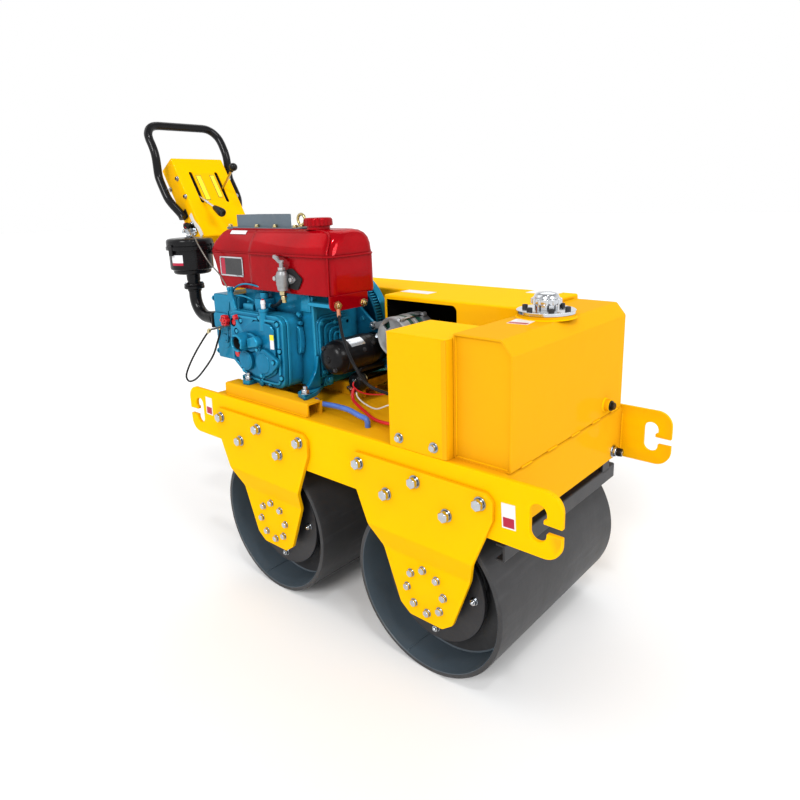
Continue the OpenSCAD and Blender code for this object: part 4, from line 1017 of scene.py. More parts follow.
def makeGearCover():
    e = engineShape
    face, back = e["coverFace"], e["coverBack"]
    bm = bmesh.new()
    body, rim, corner, boss = (bmesh.new() for _ in range(4))
    addPlate(body, e["coverOutline"], "y", face + 5, back, 4, angle=60, segments=3)
    addWall(rim, e["coverRim"], "y", face, face + 8, 7)
    bmesh.ops.recalc_face_normals(rim, faces=rim.faces)
    softenEdges(rim, foldsOf(rim, lambda e: max(v.co.y for v in e.verts) < face + 1), 2, 2)
    addPlate(corner, [(-452, 798), (-352, 798), (-346, 790), (-392, 742), (-452, 720), (-458, 735),
                      (-458, 785)], "y", face + 1,
             face + 12, 3, corners=[(4, range(7))])
    for part in (body, rim, corner):  # pockets that the rim's bolts and the filler plug sit in
        cutter = bmesh.new()
        for x, z in e["rimBolts"]:
            addRod(cutter, (x, face - 9, z), (x, face + 9, z), 9.5, steps=24)
        addRod(cutter, (-441, face - 9, 776), (-441, face + 15, 776), 13, steps=28)
        carve(part, cutter)
        addPart(bm, part)
    addPlate(bm, [(-340, 792), (-268, 787), (-256, 772), (-255, 700), (-254, 652), (-300, 628), (-362, 630),
                  (-414, 670),
                  (-414, 730), (-384, 768)], "y", face - 3, face + 10, 5,
                  corners=[(8, [1, 2]), (14, [0, 3, 4, 5, 6, 7, 8, 9])], segments=3)
    # boss of the starting handle's sleeve, with a side fin
    addPlate(boss, [(-400, 744), (-352, 758), (-312, 742), (-306, 718), (-352, 700), (-398, 712)], "y",
             face - 12, face, 5,
             corners=[(11, range(6))], segments=3)
    cutter = bmesh.new()
    addRod(cutter, (-378, face - 60, 729), (-378, face + 4, 729), 19, steps=40)
    carve(boss, cutter)
    addPart(bm, boss)
    addPlate(bm, [(-352, 742), (-318, 752), (-304, 738), (-306, 724), (-350, 716)], "y", face - 24, face, 4,
             corners=[(6, [1, 2, 3])])
    # disc cap and the round cover with its lug
    addRod(bm, (-378, face + 2, 675), (-378, face - 14, 675), 31, 29, steps=48, edge=2, segments=3)
    addRod(bm, (-378, face - 13, 675), (-378, face - 15, 675), 24, 23, steps=48, edge=1)
    addRod(bm, (-297, face + 2, 677), (-297, face - 12, 677), 39, 36, steps=56, edge=2.5, segments=3)
    addRod(bm, (-297, face - 11, 677), (-297, face - 15, 677), 30, 28, steps=48, edge=1.5)
    addPlate(bm, [(-305, 716), (-292, 718), (-240, 696), (-234, 686), (-238, 676), (-268, 650), (-290, 660)],
             "y", face - 13, face,
             3, corners=[(5, [0, 1, 2, 3, 4, 5])], segments=3)
    for x, z in ((-318, 713), (-250, 686), (-306, 641)):
        addRod(bm, (x, face, z), (x, face - 13, z), 9, steps=24, edge=1.5)
        addHex(bm, (x, face - 13, z), toNear, 10, 4)
    # neck of the dipstick
    addRod(bm, (-305, face + 9, 766), (-305, face + 9, 822), 15, 12, steps=32, edge=1.5)
    addRod(bm, (-305, face + 9, 818), (-305, face + 9, 826), 14, steps=32, edge=1.5)
    # drain boss and lugs along the lower edge
    addRod(bm, (-296, face + 14, 620), (-292, face + 2, 608), 9, 7, steps=24, edge=1.5)
    addRod(bm, (-330, face + 14, 613), (-330, face - 1, 611), 9, steps=20, edge=1.5)
    # post of the throttle arm with a forked end
    addPlate(bm, [(-462, 795), (-436, 797), (-452, 842), (-457, 860), (-460, 874), (-474, 874), (-478, 850),
                  (-470, 830)], "y",
             back - 8, back, 2, corners=[(4, range(2, 8))])
    addRod(bm, (-467, back - 12, 868), (-467, back + 6, 868), 6, steps=20, edge=1)
    for x, z in e["rimBolts"]:
        addHex(bm, (x, face + 8, z), toNear, 12, 7)
    sleeve, mouth = bmesh.new(), bmesh.new()
    addTurn(sleeve, [(18, -4), (18, 38), (20, 40), (24, 40), (25.5, 38), (27.5, 4), (27.5, -4), (18, -4)],
            (-378, face, 729), toNear,
            steps=48)
    addBox(mouth, (-384, face - 46, 690), (-372, face - 30, 770), turn=Matrix.Translation((-378, 0, 729))
           @ Matrix.Rotation(math.radians(-40), 4, "Y") @ Matrix.Translation((378, 0, -729)))
    carve(sleeve, mouth)
    addPart(bm, sleeve)
    addRod(bm, (-378, face + 5, 729), (-378, face - 24, 729), 8.5, steps=24, edge=1)
    addRod(bm, (-378, face - 23, 729), (-378, face - 26, 729), 6, 5, steps=24)
    finishPiece("gearCover", bm, "engine_blue", replaces=("gear_cover",), smooth=45)
    # a dark lining in the sleeve's bore: painted shade
    bm = bmesh.new()
    addTurn(bm, [(9, 3), (17.7, 3), (17.7, 35)], (-378, face, 729), toNear, steps=40)
    finishPiece("sleeveBoreShade", bm, "gasket", slot="rubber")
    bm = bmesh.new()
    addRod(bm, (-414, face + 8, 690), (-414, face - 14, 690), 10, steps=24, edge=2)
    addRod(bm, (-441, back + 2, 776), (-441, face + 6, 776), 11, steps=24, edge=1)
    addHex(bm, (-441, face + 6, 776), toNear, 15, 4)
    addRod(bm, (-422, face + 2, 793), (-422, face - 9, 793), 8, 7, steps=20, edge=1)
    finishPiece("coverPlugs", bm, "red_plastic")
    bm = bmesh.new()
    addRod(bm, (-305, face + 9, 826), (-305, face + 9, 838), 6, steps=20, edge=1)
    addRod(bm, (-305, face + 9, 838), (-305, face + 9, 850), 7.5, 6, steps=24, edge=2)
    finishPiece("dipstickKnob", bm, "labelWhite")
    bm = bmesh.new()
    addRod(bm, (-305, face + 9, 849.5), (-305, face + 9, 853), 3.5, steps=16, edge=0.8)
    finishPiece("dipstickTip", bm, "red_plastic")
    for name, finish, low, high in (("coverLabelTop", "labelYellow", 745, 760),
                                    ("coverLabelBottom", "labelWhite", 720, 745)):
        bm = bmesh.new()
        addPlate(bm, [(-271, low - 1), (-255, low), (-255, high), (-271, high - 1)], "y", face - 3.6,
                 face - 2.8)
        finishPiece(name, bm, finish)


def makeCylinderHead():
    bm = bmesh.new()
    addBox(bm, (-600, -200, 643), (-470, -45, 843), 6, 3)
    addBox(bm, (-492, -204, 640), (-478, -41, 847), 2.5)
    addBox(bm, (-606, -196, 652), (-594, -49, 834), 4)
    addBox(bm, (-636, -150, 693), (-602, -55, 823), 14, 4)
    for z in (660, 740, 826):
        for y in (-188, -57):
            addHex(bm, (-606, y, z), toRear, 15, 8, washer=10, stud=4)
    for z in (720, 796):
        addHex(bm, (-634, -102, z), toRear, 13, 5, washer=9)
    addRod(bm, (-552, -203, 700), (-552, -196, 700), 22, steps=32, edge=2)
    addPlate(bm, [(-598, 738), (-598, 786), (-520, 786), (-520, 738)], "y", -199, -206, 2,
             corners=[(10, range(4))])
    finishPiece("cylinderHead", bm, "engine_blue", replaces=("cylinder_head",), smooth=45)
    pipe = [smoothRoute([(-354, -192, 866), (-366, -205, 880), (-420, -214, 884), (-470, -214, 862),
                         (-505, -214, 800),
                         (-520, -212, 740), (-534, -207, 702), (-548, -204, 700)], 8),
            smoothRoute([(-384, -200, 832), (-400, -214, 846), (-440, -218, 850), (-486, -216, 838),
                         (-500, -214, 800)], 8)]
    piece = wireCurve("injectorPipes", pipe, 5, "engine_blue")
    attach(piece, "chassis")


flywheelShape = {"centre": (-273, 751), "teeth": 120}


def makeFlywheel():
    f = flywheelShape
    cx, cz = f["centre"]
    bm = bmesh.new()
    addTurn(bm, [(24, 19), (24, -22.5), (0, -22.5)], (cx, 0, cz), toFar, steps=40)
    addTurn(bm, [(0, 64), (58, 64), (60, 66), (60, 69), (72, 71), (78, 65), (120, 60), (150, 61), (161, 64),
                 (165, 61), (165, 41),
                 (163, 38), (152, 37.5), (150, 30), (143, 28), (141, 43), (118, 43), (56, 43), (52, 22),
                 (44, 19), (24, 19)],
            (cx, 0, cz), toFar, steps=96)
    addTurn(bm, [(60, 66), (60, 122), (57, 125), (0, 125)], (cx, 0, cz), toFar, steps=48)
    finishPiece("flywheel", bm, "engine_blue", "flywheel", ("flywheel",), smooth=42)
    bm = bmesh.new()
    addTurn(bm, [(150, 19.5), (153.5, 19.5), (153.5, 37.2), (150, 37.2), (150, 19.5)], (cx, 0, cz), toFar,
            steps=120)
    for i in range(f["teeth"]):
        angle = 2 * math.pi * i / f["teeth"]
        turn = Matrix.Translation((cx, 0, cz)) @ Matrix.Rotation(angle, 4, "Y")
        made = bmesh.ops.create_cube(bm, size=1, matrix=turn @ Matrix.Translation((0, 28.4,
            156.5)) @ Matrix.Diagonal((4.6, 17, 6.6, 1)))
        tip = [v for v in made["verts"] if (v.co - Vector((cx, v.co.y, cz))).length > 157]
        for v in tip:  # the tooth narrows to its tip
            mid = Vector((cx, v.co.y, cz)) + Vector((math.sin(angle), 0, math.cos(angle))) * 159.8
            v.co = v.co.lerp(mid, 0.45)
    finishPiece("ringGear", bm, "engine_blue", "flywheel", smooth=30)
    bm = bmesh.new()
    for x, z in spotsRound(cx, cz, 46, 6):
        addHex(bm, (x, 125, z), toFar, 13, 6, washer=9)
    addHex(bm, (cx, 125, cz), toFar, 34, 9)
    finishPiece("pulleyBolts", bm, "zinc", "flywheel")
    bm = bmesh.new()
    for y in (80, 98, 116):  # belts in the pulley's grooves
        addTurn(bm, [(60.2, y - 6), (62.5, y - 5), (62.5, y + 5), (60.2, y + 6)], (cx, 0, cz), toFar,
                steps=48)
    finishPiece("pulleyBelts", bm, "rubber", "flywheel")


starterShape = {"centre": (-92, 705)}


def makeStarter():
    x, z = starterShape["centre"]
    bm = bmesh.new()
    addTurn(bm, [(0, -203), (14, -202.5), (26, -200), (36, -195), (42, -187), (45, -178), (46, -172),
                 (45, -171), (45, -169),
                 (47, -168), (47, -62), (46, -60), (46, -56), (43, -54), (43, -40), (39, -30), (37, -22),
                 (38, -12), (38, -10.2),
                 (33.8, -10), (33.8, 12), (31, 14), (0, 14)], (x, 0, z), toFar, steps=72)
    addTurn(bm, [(0, -206), (7, -206), (9, -204.5), (10, -202)], (x, 0, z), toFar, steps=32)
    addTurn(bm, [(46.8, -80), (47.6, -79), (47.6, -76), (46.8, -75)], (x, 0, z), toFar, steps=72)
    addPlate(bm, [(x - 52, z - 20), (x - 52, z + 20), (x - 30, z + 40), (x + 30, z + 40), (x + 44, z + 6),
                  (x + 40, z - 24), (x, z - 43)],
             "y", -20, -10.3, 2.5, corners=[(12, range(7))])
    addBox(bm, (x + 14, -118, z - 49), (x + 34, -22, z - 34), 5, 3)
    finishPiece("starter", bm, "satin_black", replaces=("starter",), smooth=45, slot="black_gloss")
    bm = bmesh.new()
    for bx, bz in spotsRound(x, z, 33, 2, 128):
        addHex(bm, (bx, -196, bz), toNear, 9, 4, washer=7)
    for reach, angle, along in ((47, 0.35, -110), (47, 0.6, -70)):
        out = Vector((math.cos(angle), 0, math.sin(angle)))
        addHex(bm, Vector((x, along, z)) + out * (reach - 1), out, 8, 3, washer=6)
    for bx, bz in ((x - 44, z), (x + 18, z + 34)):
        addHex(bm, (bx, -20, bz), toNear, 13, 7, washer=9, stud=4)
    finishPiece("starterScrews", bm, "dark_steel")
    bm = bmesh.new()
    addTurn(bm, [(47.3, -150), (47.3, -98), (47.6, -98), (47.6, -150), (47.3, -150)], (x, 0, z), toFar,
            steps=14, sweep=34,
            start=-72)
    finishPiece("starterLabel", bm, "zinc")


def makeSolenoid():
    x, z = -76, 628
    bm = bmesh.new()
    addTurn(bm, [(0, -104), (26.5, -104), (27.5, -102), (27.8, -100), (27.8, -14), (26, -10.3), (0, -10.3)],
            (x, 0, z), toFar,
            steps=56)
    finishPiece("solenoidCan", bm, "canGold", replaces=("starter_solenoid",), slot="brass")
    bm = bmesh.new()
    addTurn(bm, [(0, -128), (20, -128), (23, -125), (25, -118), (27, -112), (28, -108), (28, -103.5),
                 (0, -103.5)], (x, 0, z), toFar,
            steps=48)
    addTurn(bm, [(27.6, -20), (28.8, -19), (28.8, -12), (27, -10.4)], (x, 0, z), toFar, steps=48)
    finishPiece("solenoidCap", bm, "black_plastic")
    bm = bmesh.new()
    for bx, bz, far in ((-71, 636, -134), (-94, 612, -136), (-80, 610, -142), (-65, 606, -134)):
        addRod(bm, (bx, -127, bz), (bx, far, bz), 4, steps=14, edge=0.5)
        addHex(bm, (bx, -128, bz), toNear, 11, 3)
        addHex(bm, (bx, -132, bz), toNear, 10, 3)
    finishPiece("solenoidStuds", bm, "zinc")
    bm = bmesh.new()
    addPlate(bm, [(-88, 618), (-73, 618), (-69, 606), (-68, 596), (-74, 594), (-80, 600), (-88, 608)], "y",
             -139, -136.6, 0.6,
             corners=[(3, [0, 1])])
    addRod(bm, (-71.5, -138, 604), (-69, -145, 596), 5.4, steps=16, edge=0.6)
    finishPiece("batteryLug", bm, "copper", slot="brass")


def makeLugs():
    bm = bmesh.new()
    addPlate(bm, [(-188, 856), (-170, 856), (-170, 838), (-176, 832), (-184, 832), (-188, 838)], "x", -68.4,
             -66.4, 0.5,
             corners=[(6, [0, 1])])
    addRod(bm, (-66.8, -180, 838), (-65, -180.4, 818), 5.2, steps=16, edge=0.6)
    finishPiece("groundLug", bm, "copper", slot="brass")


alternatorShape = {"centre": (20, 755), "radius": 54, "windows": 8}


def makeAlternator():
    a = alternatorShape
    (x, z), r = a["centre"], a["radius"]
    bm = bmesh.new()
    end = bmesh.new()
    addTurn(end, [(0, -66), (0, -72), (20, -72), (24, -71), (44, -71), (50, -74.5), (52.5, -73.5), (r, -70),
                  (r, -58), (r - 1, -57),
                  (r - 1, -44), (r - 4, -44), (r - 5, -64), (20, -66), (0, -66)], (x, 0, z), toFar, steps=72)
    cutter = bmesh.new()
    for k in range(a["windows"]):
        turn = Matrix.Translation((x, 0, z)) @ Matrix.Rotation(math.radians(360 / a["windows"] * k + 12), 4,
            "Y")
        addPlate(cutter, [(-8, 26), (8, 26), (13, 43), (-13, 43)], "y", -80, -55, corners=[(3, range(4))])
        chosen = [v for v in cutter.verts if not v.tag]
        bmesh.ops.transform(cutter, matrix=turn, verts=chosen)
        for v in chosen:
            v.tag = True
    carve(end, cutter)
    bmesh.ops.recalc_face_normals(end, faces=end.faces)
    softenEdges(end, [k for k in sharpEdges(end.verts, 60) if max(v.co.y for v in k.verts) < -70.5], 0.8, 1)
    addPart(bm, end)
    addTurn(bm, [(r - 4, -30), (r - 1, -30), (r - 1, -22), (r, -21), (r, -12.5), (r - 4, -12), (r - 4, -30)],
            (x, 0, z), toFar, steps=72)
    addTurn(bm, [(r - 4, 9), (r, 9.5), (r, 18), (r - 1, 19), (r - 1, 40), (r - 3, 43), (r - 10, 45), (0, 45)],
            (x, 0, z), toFar, steps=72)
    addTurn(bm, [(0, -77), (10, -77), (12, -75.5), (14, -72)], (x, 0, z), toFar, steps=40)
    ears = spotsRound(x, z, r + 1, 3, 62)
    for bx, bz in ears:  # ears that take the long bolts
        addRod(bm, (bx, -72, bz), (bx, -56, bz), 7, steps=20, edge=1)
        addRod(bm, (bx, 18, bz), (bx, 34, bz), 7, steps=20, edge=1)
    addPlate(bm, [(-98, 757), (-20, 768), (-26, 792), (-104, 772)], "y", -22, -10.3, 2,
             corners=[(4, range(4))])
    addRod(bm, (-100, -22, 764), (-100, -10.3, 764), 12, steps=28, edge=1)
    finishPiece("alternator", bm, "cast_alloy", replaces=("alternator",), smooth=42)
    bm = bmesh.new()
    addTurn(bm, [(0, -58), (49, -58), (50.5, -44), (52.5, -43), (52.5, -31), (50.5, -30), (50.5, 14),
                 (40, 20)], (x, 0, z), toFar, steps=56)
    finishPiece("alternatorStator", bm, "stator", slot="rubber")
    bm = bmesh.new()
    for bx, bz in ears:
        addRod(bm, (bx, -74, bz), (bx, 36, bz), 3, steps=12)
        addHex(bm, (bx, -72, bz), toNear, 9, 4)
    addHex(bm, (x, -76.5, z), toNear, 11, 4)
    addHex(bm, (-100, -22, 764), toNear, 13, 6, washer=9)
    finishPiece("alternatorBolts", bm, "zinc")
    bm = bmesh.new()
    addTurn(bm, [(0, 77), (28, 77), (32, 75), (31, 72), (24, 66), (24, 62), (31, 56), (32, 54), (30, 50),
                 (12, 48), (12, 45)],
            (x, 0, z), toFar, steps=48)
    finishPiece("alternatorPulley", bm, "dark_steel")


filterShape = {"centre": (-731, -180, 895)}


def makeAirFilter():
    x, y, z = filterShape["centre"]
    bm = bmesh.new()
    addTurn(bm, [(0, 113), (14, 113), (18, 111), (58, 111), (66, 109.5), (70, 106), (71.5, 101), (72, 90),
                 (70.5, 88), (73.5, 87),
                 (74, 81), (73.5, 76), (67, 75), (66, 72), (66, 20), (65, 16), (58, 12), (57.5, 6), (55, 2),
                 (50, 0), (0, 0)],
            (x, y, z), toTop, steps=80)
    addTurn(bm, [(21, 2), (21, -20), (19.5, -24), (19.5, -32), (30, -32.5), (31, -34), (31, -37), (30, -38),
                 (0, -38)], (x, y, z),
            toTop, steps=40)
    for angle in (35, 155, 275):
        turn = rotZ(angle, (x, y, 0))
        addBox(bm, (x + 69, y - 9, z + 60), (x + 75, y + 9, z + 94), 1.5, 2, turn)
        addRod(bm, turn @ Vector((x + 74, y - 9, z + 90)), turn @ Vector((x + 74, y + 9, z + 90)), 2.5,
               steps=12)
    finishPiece("airFilter", bm, "black_gloss", replaces=("air_filter",), smooth=42)
    bm = bmesh.new()
    addHex(bm, (x, y, z + 112), toTop, 13, 6, washer=11)
    addBox(bm, (x - 16, y - 2, z + 114), (x + 16, y + 2, z + 120), 1.5)
    for angle in (70, 250):
        turn = rotZ(angle, (x, y, 0))
        addHex(bm, turn @ Vector((x + 24, y, z - 33)), toTop, 10, 5)
        addHex(bm, turn @ Vector((x + 24, y, z - 42)), toBottom, 10, 5)
    finishPiece("filterNuts", bm, "zinc")
    for name, finish, low, high in (("filterLabel", "labelWhite", 38, 62),
                                    ("filterBand", "labelRed", 30, 38)):
        bm = bmesh.new()
        addTurn(bm, [(66.3, low), (66.3, high), (66.7, high), (66.7, low), (66.3, low)], (x, y, z), toTop,
                steps=14, sweep=36,
                start=-90)
        finishPiece(name, bm, finish)


def makeIntakePipe():
    x, y, _ = filterShape["centre"]
    low, bend = 760, 62
    arc = [(x + bend - bend * math.cos(math.radians(a)), y,
            low + bend - bend * math.sin(math.radians(a))) for a in range(0, 91, 6)]
    points = [(x, y, 857)] + arc + [(-600.4, y, low)]
    piece = wireCurve("intakePipe", [points], 38, "black_gloss", 8)
    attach(piece, "chassis")
    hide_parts("intake_pipe")
    bm = bmesh.new()
    addTurn(bm, [(19, 846), (30, 846.5), (31.5, 848), (31.5, 855), (30, 856.6), (19, 856.8)], (x, y, 0),
            toTop, steps=40)
    addTurn(bm, [(19, 838), (21.5, 839), (21.5, 844), (19, 846)], (x, y, 0), toTop, steps=40)
    addTurn(bm, [(18.9, -642), (21, -641), (21, -630), (18.9, -629)], (0, y, low), toFront, steps=40)
    addBox(bm, (-611, y - 30, low - 24), (-600.4, y + 26, low + 24), 4, 3)
    finishPiece("intakeCollars", bm, "black_gloss", smooth=42)


def makeExhaust():
    x, y = -560, 55
    bm = bmesh.new()
    addTurn(bm, [(0, 968), (34, 968), (38, 966), (42, 960), (43.5, 958), (43.5, 955), (42, 953), (42, 855),
                 (43.5, 853), (43.5, 850),
                 (42, 848), (38, 841), (34, 838), (0, 838)], (x, y, 0), toTop, steps=64)
    addTurn(bm, [(17, 842), (17, 780), (19, 778), (19, 772), (17, 770), (17, 762)], (x, y, 0), toTop,
            steps=32)
    addRod(bm, (x, -44.5, 761), (x, 68, 761), 17, steps=32, edge=6, segments=4)
    addTurn(bm, [(17, -43), (30, -43), (31, -42), (31, -35), (30, -34), (17, -34)], (x, 0, 761), toFar,
            steps=40)
    addBox(bm, (x - 4, y - 44, 870), (x + 4, y - 41, 944), 1)
    finishPiece("exhaustBox", bm, "dark_steel", replaces=("exhaust_box",), smooth=42)


makeCrankcase()
makeGearCover()
makeCylinderHead()
makeFlywheel()
makeStarter()
makeSolenoid()
makeLugs()
makeAlternator()
makeAirFilter()
makeIntakePipe()
makeExhaust()
print("engine made")


# Hydraulic tank: a folded wrapper with end plates let into it, and its filler
oilTank = {"back": 364, "front": 505, "half": 269, "low": 567, "top": 840, "chamfer": (25, 30), "sheet": 4,
           "inset": 5}


def oilOutline(inset):
    t = oilTank
    a, (cx, cz) = inset, t["chamfer"]
    return [(t["back"] + a, t["low"] + a), (t["front"] - a, t["low"] + a),
            (t["front"] - a, t["top"] - cz - a * 0.5),
            (t["front"] - cx - a * 0.5, t["top"] - a), (t["back"] + a, t["top"] - a)]


def makeOilTank():
    t = oilTank
    bm = bmesh.new()
    addWall(bm, oilOutline(0), "y", -t["half"], t["half"], t["sheet"], [(3.5, range(5))])
    for side in sides:
        y = side * (t["half"] - t["inset"])
        addPlate(bm, oilOutline(t["sheet"] - 1.5), "y", y, y - side * 4, corners=[(3, range(5))])
        corners = oilOutline(t["sheet"])
        for a, b in zip(corners, corners[1:] + corners[:1]):
            addWeld(bm, (a[0], y + side * 0.6, a[1]), (b[0], y + side * 0.6, b[1]), 2)
    # boss of the drain, and the weld round it
    addTurn(bm, [(0, -2), (15, -2), (15, 14), (14, 15), (0, 15)], (t["front"], 170, 598), toFront, steps=36)
    addTurn(bm, [(15, 3), (18, 1.5), (19, -1)], (t["front"], 170, 598), toFront, steps=36)
    # foot welds on the deck
    for x in (t["back"] + 1, t["front"] + 0.5):
        for y in (-230, -120, -10, 100, 205):
            addWeld(bm, (x, y, 568.5), (x, y + 45, 568.5), 2.2)
    finishPiece("oilTank", bm, "yellow_paint", replaces=("hydraulic_tank",), smooth=42)
    bm = bmesh.new()
    addRod(bm, (t["front"] + 14, 170, 598), (t["front"] + 19, 170, 598), 13, steps=36, edge=1)
    addHex(bm, (t["front"] + 18, 170, 598), toFront, 17, 8)
    addRod(bm, (516, 240, 452), (528, 240, 452), 11.5, 10.5, steps=32, edge=1.5)
    finishPiece("oilPlugs", bm, "black_plastic")
    bm = bmesh.new()
    addHex(bm, (503, 240, 452), toFront, 24, 9, washer=17)
    addRod(bm, (510, 240, 452), (530, 240, 452), 7, steps=24, edge=1)
    finishPiece("deckStud", bm, "zinc")
    turn = rotZ(8, (416, -86, 0))
    makeLabel("oilLabel", "labelWhite", ((393, -116, 840), (441, -62, 840.6)), turn=turn)
    makeLabel("oilLabelBand", "labelRed", ((395, -114, 840.3), (439, -100, 840.9)), turn=turn)


def makeFiller():
    c, top = (428, 0), 840
    bm = bmesh.new()
    addTurn(bm, [(0, 9), (64.5, 9), (66, 8), (66, 0), (60, 0)], (*c, top), toTop, steps=80)
    addTurn(bm, [(66, 3), (69, 1.5), (70, 0)], (*c, top), toTop, steps=80)
    finishPiece("fillerRing", bm, "yellow_paint")
    bm = bmesh.new()
    addTurn(bm, [(24, 17), (65.5, 17), (67, 16), (67, 10), (66, 9), (24, 9)], (*c, top), toTop, steps=80)
    finishPiece("fillerFlange", bm, "chrome", replaces=("filler_flange",), slot="zinc")
    bm = bmesh.new()
    for x, y in spotsRound(*c, 50, 6, 12):
        head = bmesh.new()
        addTurn(head, [(0, 17), (6.5, 17), (6.5, 24), (5.5, 25), (0, 25)], (x, y, top), toTop, steps=24)
        socket = bmesh.new()
        addRod(socket, (x, y, top + 21), (x, y, top + 26), 3.3, steps=6)
        carve(head, socket)
        addPart(bm, head)
    finishPiece("fillerScrews", bm, "dark_steel")
    bm = bmesh.new()
    addTurn(bm, [(0, 29), (26, 29), (26, 17.2)], (*c, top), toTop, steps=48)
    addTurn(bm, [(26, 29), (31, 29), (32.5, 31), (32.5, 41), (31, 43), (29, 44), (27, 50), (22, 54),
                 (13, 56.2), (0, 57)], (*c, top),
            toTop, steps=64)
    for x, y in spotsRound(*c, 31.4, 12):
        addRod(bm, (x, y, top + 30), (x, y, top + 42), 4, 3.6, steps=14, edge=0.8)
    finishPiece("breatherCap", bm, "chrome", replaces=("breather_cap",), slot="zinc")


batteryBox = {"low": (197, -293, 567), "high": (363, -133, 830)}


def makeBatteryBox():
    (x0, y0, z0), (x1, y1, z1) = batteryBox["low"], batteryBox["high"]
    bm = bmesh.new()
    addPlate(bm, [(x0, y0), (x1, y0), (x1, y1), (x0, y1)], "z", z0, z1 - 1.5, 1, corners=[(7, range(4))])
    addPlate(bm, [(x0 - 0.5, y0 - 0.5), (x1 + 0.5, y0 - 0.5), (x1 + 0.5, y1 + 0.5), (x0 - 0.5, y1 + 0.5)],
             "z", z1 - 3, z1, 1.8,
             corners=[(6, range(4))], segments=3)
    # folded edge with its seam on the front corner, and the skirt's joint line
    addBox(bm, (x1 - 12, y0 - 0.9, z0 + 2), (x1 - 0.4, y0 + 2, z1 - 4), 0.5, 1)
    addWeld(bm, (x1 - 2, y0 + 2, z0 + 6), (x1 - 2, y0 + 2, z1 - 8), 1.8)
    for x in (x0 + 30, x0 + 110):
        addWeld(bm, (x, y0 + 0.5, z0 + 1), (x + 22, y0 + 0.5, z0 + 1), 1.6)
    finishPiece("batteryBox", bm, "yellow_paint", replaces=("battery_box",), smooth=42)
    bm = bmesh.new()
    for x in (230, 328):
        addHex(bm, (x, y0, 590), toNear, 15, 8, washer=12)
    finishPiece("boxBolts", bm, "zinc")
    bm = bmesh.new()  # rubber rings where the cables go in
    for y, z, r in ((-205, 650, 8), (-225, 591, 9), (-190, 665, 6), (-190, 633, 6)):
        made = [(r + 1.8 * math.cos(k * math.pi / 5), 1.8 * math.sin(k * math.pi / 5)) for k in range(11)]
        addTurn(bm, made, (x0 - 1.2, y, z), toFront, steps=28)
    finishPiece("cableRings", bm, "rubber")


# Guard over the belts: folded sheet, open to the alternator and the flywheel's pulley
guardShape = {"low": 567, "top": 850, "side": 295, "near": (-88, 363, 15), "far": (-500, -48, 120),
              "sheet": 3,
              "window": (-78, 165, 637, 838), "hole": (-273, 751, 72)}


def shadedGuardInside(face):  # whether a face of the guard looks into it; those faces are painted black as painted shade
    g = guardShape
    place = (face.calc_center_median() - at(0, 0, 0)) * 1000 + face.normal * 2
    (x0, x1, y0), (x2, _, y3), t = g["near"], g["far"], g["sheet"] + 0.5
    return place.z < g["top"] - t and place.y < g["side"] - t and (
        (x0 + t < place.x < x1 - t and place.y > y0 + t) or (x2 + t < place.x <= x0 + t and place.y > y3 + t))


def makeGuard():
    g = guardShape
    t, low, top, side = g["sheet"], g["low"], g["top"], g["side"]
    (x0, x1, y0), (x2, _, y3) = g["near"], g["far"]
    plan = [(x2, y3), (x0, y3), (x0, y0), (x1, y0), (x1, side), (x2, side)]
    bm = bmesh.new()
    shell = bmesh.new()
    addPlate(shell, plan, "z", low, top, corners=[(6, [0, 2, 3, 4, 5])])
    bmesh.ops.delete(shell, geom=[f for f in shell.faces if f.calc_center_median().z < low + 0.1],
                     context="FACES_ONLY")
    softenEdges(shell, [e for e in sharpEdges(shell.verts, 60) if min(v.co.z for v in e.verts) > top - 0.1],
                6, 4)
    bmesh.ops.recalc_face_normals(shell, faces=shell.faces)
    bmesh.ops.solidify(shell, geom=shell.faces[:], thickness=t)
    a, b, c, d = g["window"]
    cutter = bmesh.new()
    addPlate(cutter, [(a, c), (b, c), (b, d), (a, d)], "y", y0 - 9, y0 + 9, corners=[(16, [1, 2])])
    carve(shell, cutter)
    cutter = bmesh.new()
    cx, cz, r = g["hole"]
    addRod(cutter, (cx, y3 - 9, cz), (cx, y3 + 9, cz), r, steps=64)
    carve(shell, cutter)
    addPart(bm, shell)
    # foot welds
    for x in (x2 + 40, x2 + 220, x0 + 120, x1 - 90):
        addWeld(bm, (x, (y3 if x < x0 else y0) - 0.5, low + 1),
                (x + 30, (y3 if x < x0 else y0) - 0.5, low + 1), 1.8)
        addWeld(bm, (x, side - 1, low + 1), (x + 30, side - 1, low + 1), 1.8)
    # the inside faces are painted black: painted shade inside the guard
    finishPiece("beltGuard", bm, ("yellow_paint", "black_plastic"), replaces=("belt_guard",), smooth=42,
                paint=lambda f: int(shadedGuardInside(f)))
    bm = bmesh.new()
    for x in (-470, -270, -70, 150, 330):
        addHex(bm, (x, side, top - 30), toFar, 12, 5, washer=9)
    finishPiece("guardScrews", bm, "zinc")
    makeLabel("guardLabels", "labelWhite", ((-80, 78, top), (20, 118, top + 0.6)),
              ((236, 236, top), (322, 284, top + 0.6)))


def makeRails():
    bm = bmesh.new()
    for y in (-280, -70):
        profile = [(y, 567), (y, 603), (y + 50, 603), (y + 50, 567), (y + 45, 567), (y + 45, 598),
                   (y + 5, 598), (y + 5, 567)]
        addPlate(bm, profile, "x", -455, -95, corners=[(6, [1, 2]), (2.5, [5, 6])])
    finishPiece("engineRails", bm, "yellow_paint", replaces=("engine_rails",), smooth=42)
    bm = bmesh.new()
    for x, y in ((-138, -247), (-380, -250)):
        addRod(bm, (x, y, 603), (x, y, 637), 6, steps=20, edge=1)
        addHex(bm, (x, y, 616), toTop, 19, 10, washer=12)
    for x in (-435, -208):
        addHex(bm, (x, -45, 616), toTop, 19, 10, washer=12, stud=8)
    finishPiece("footBolts", bm, "zinc")


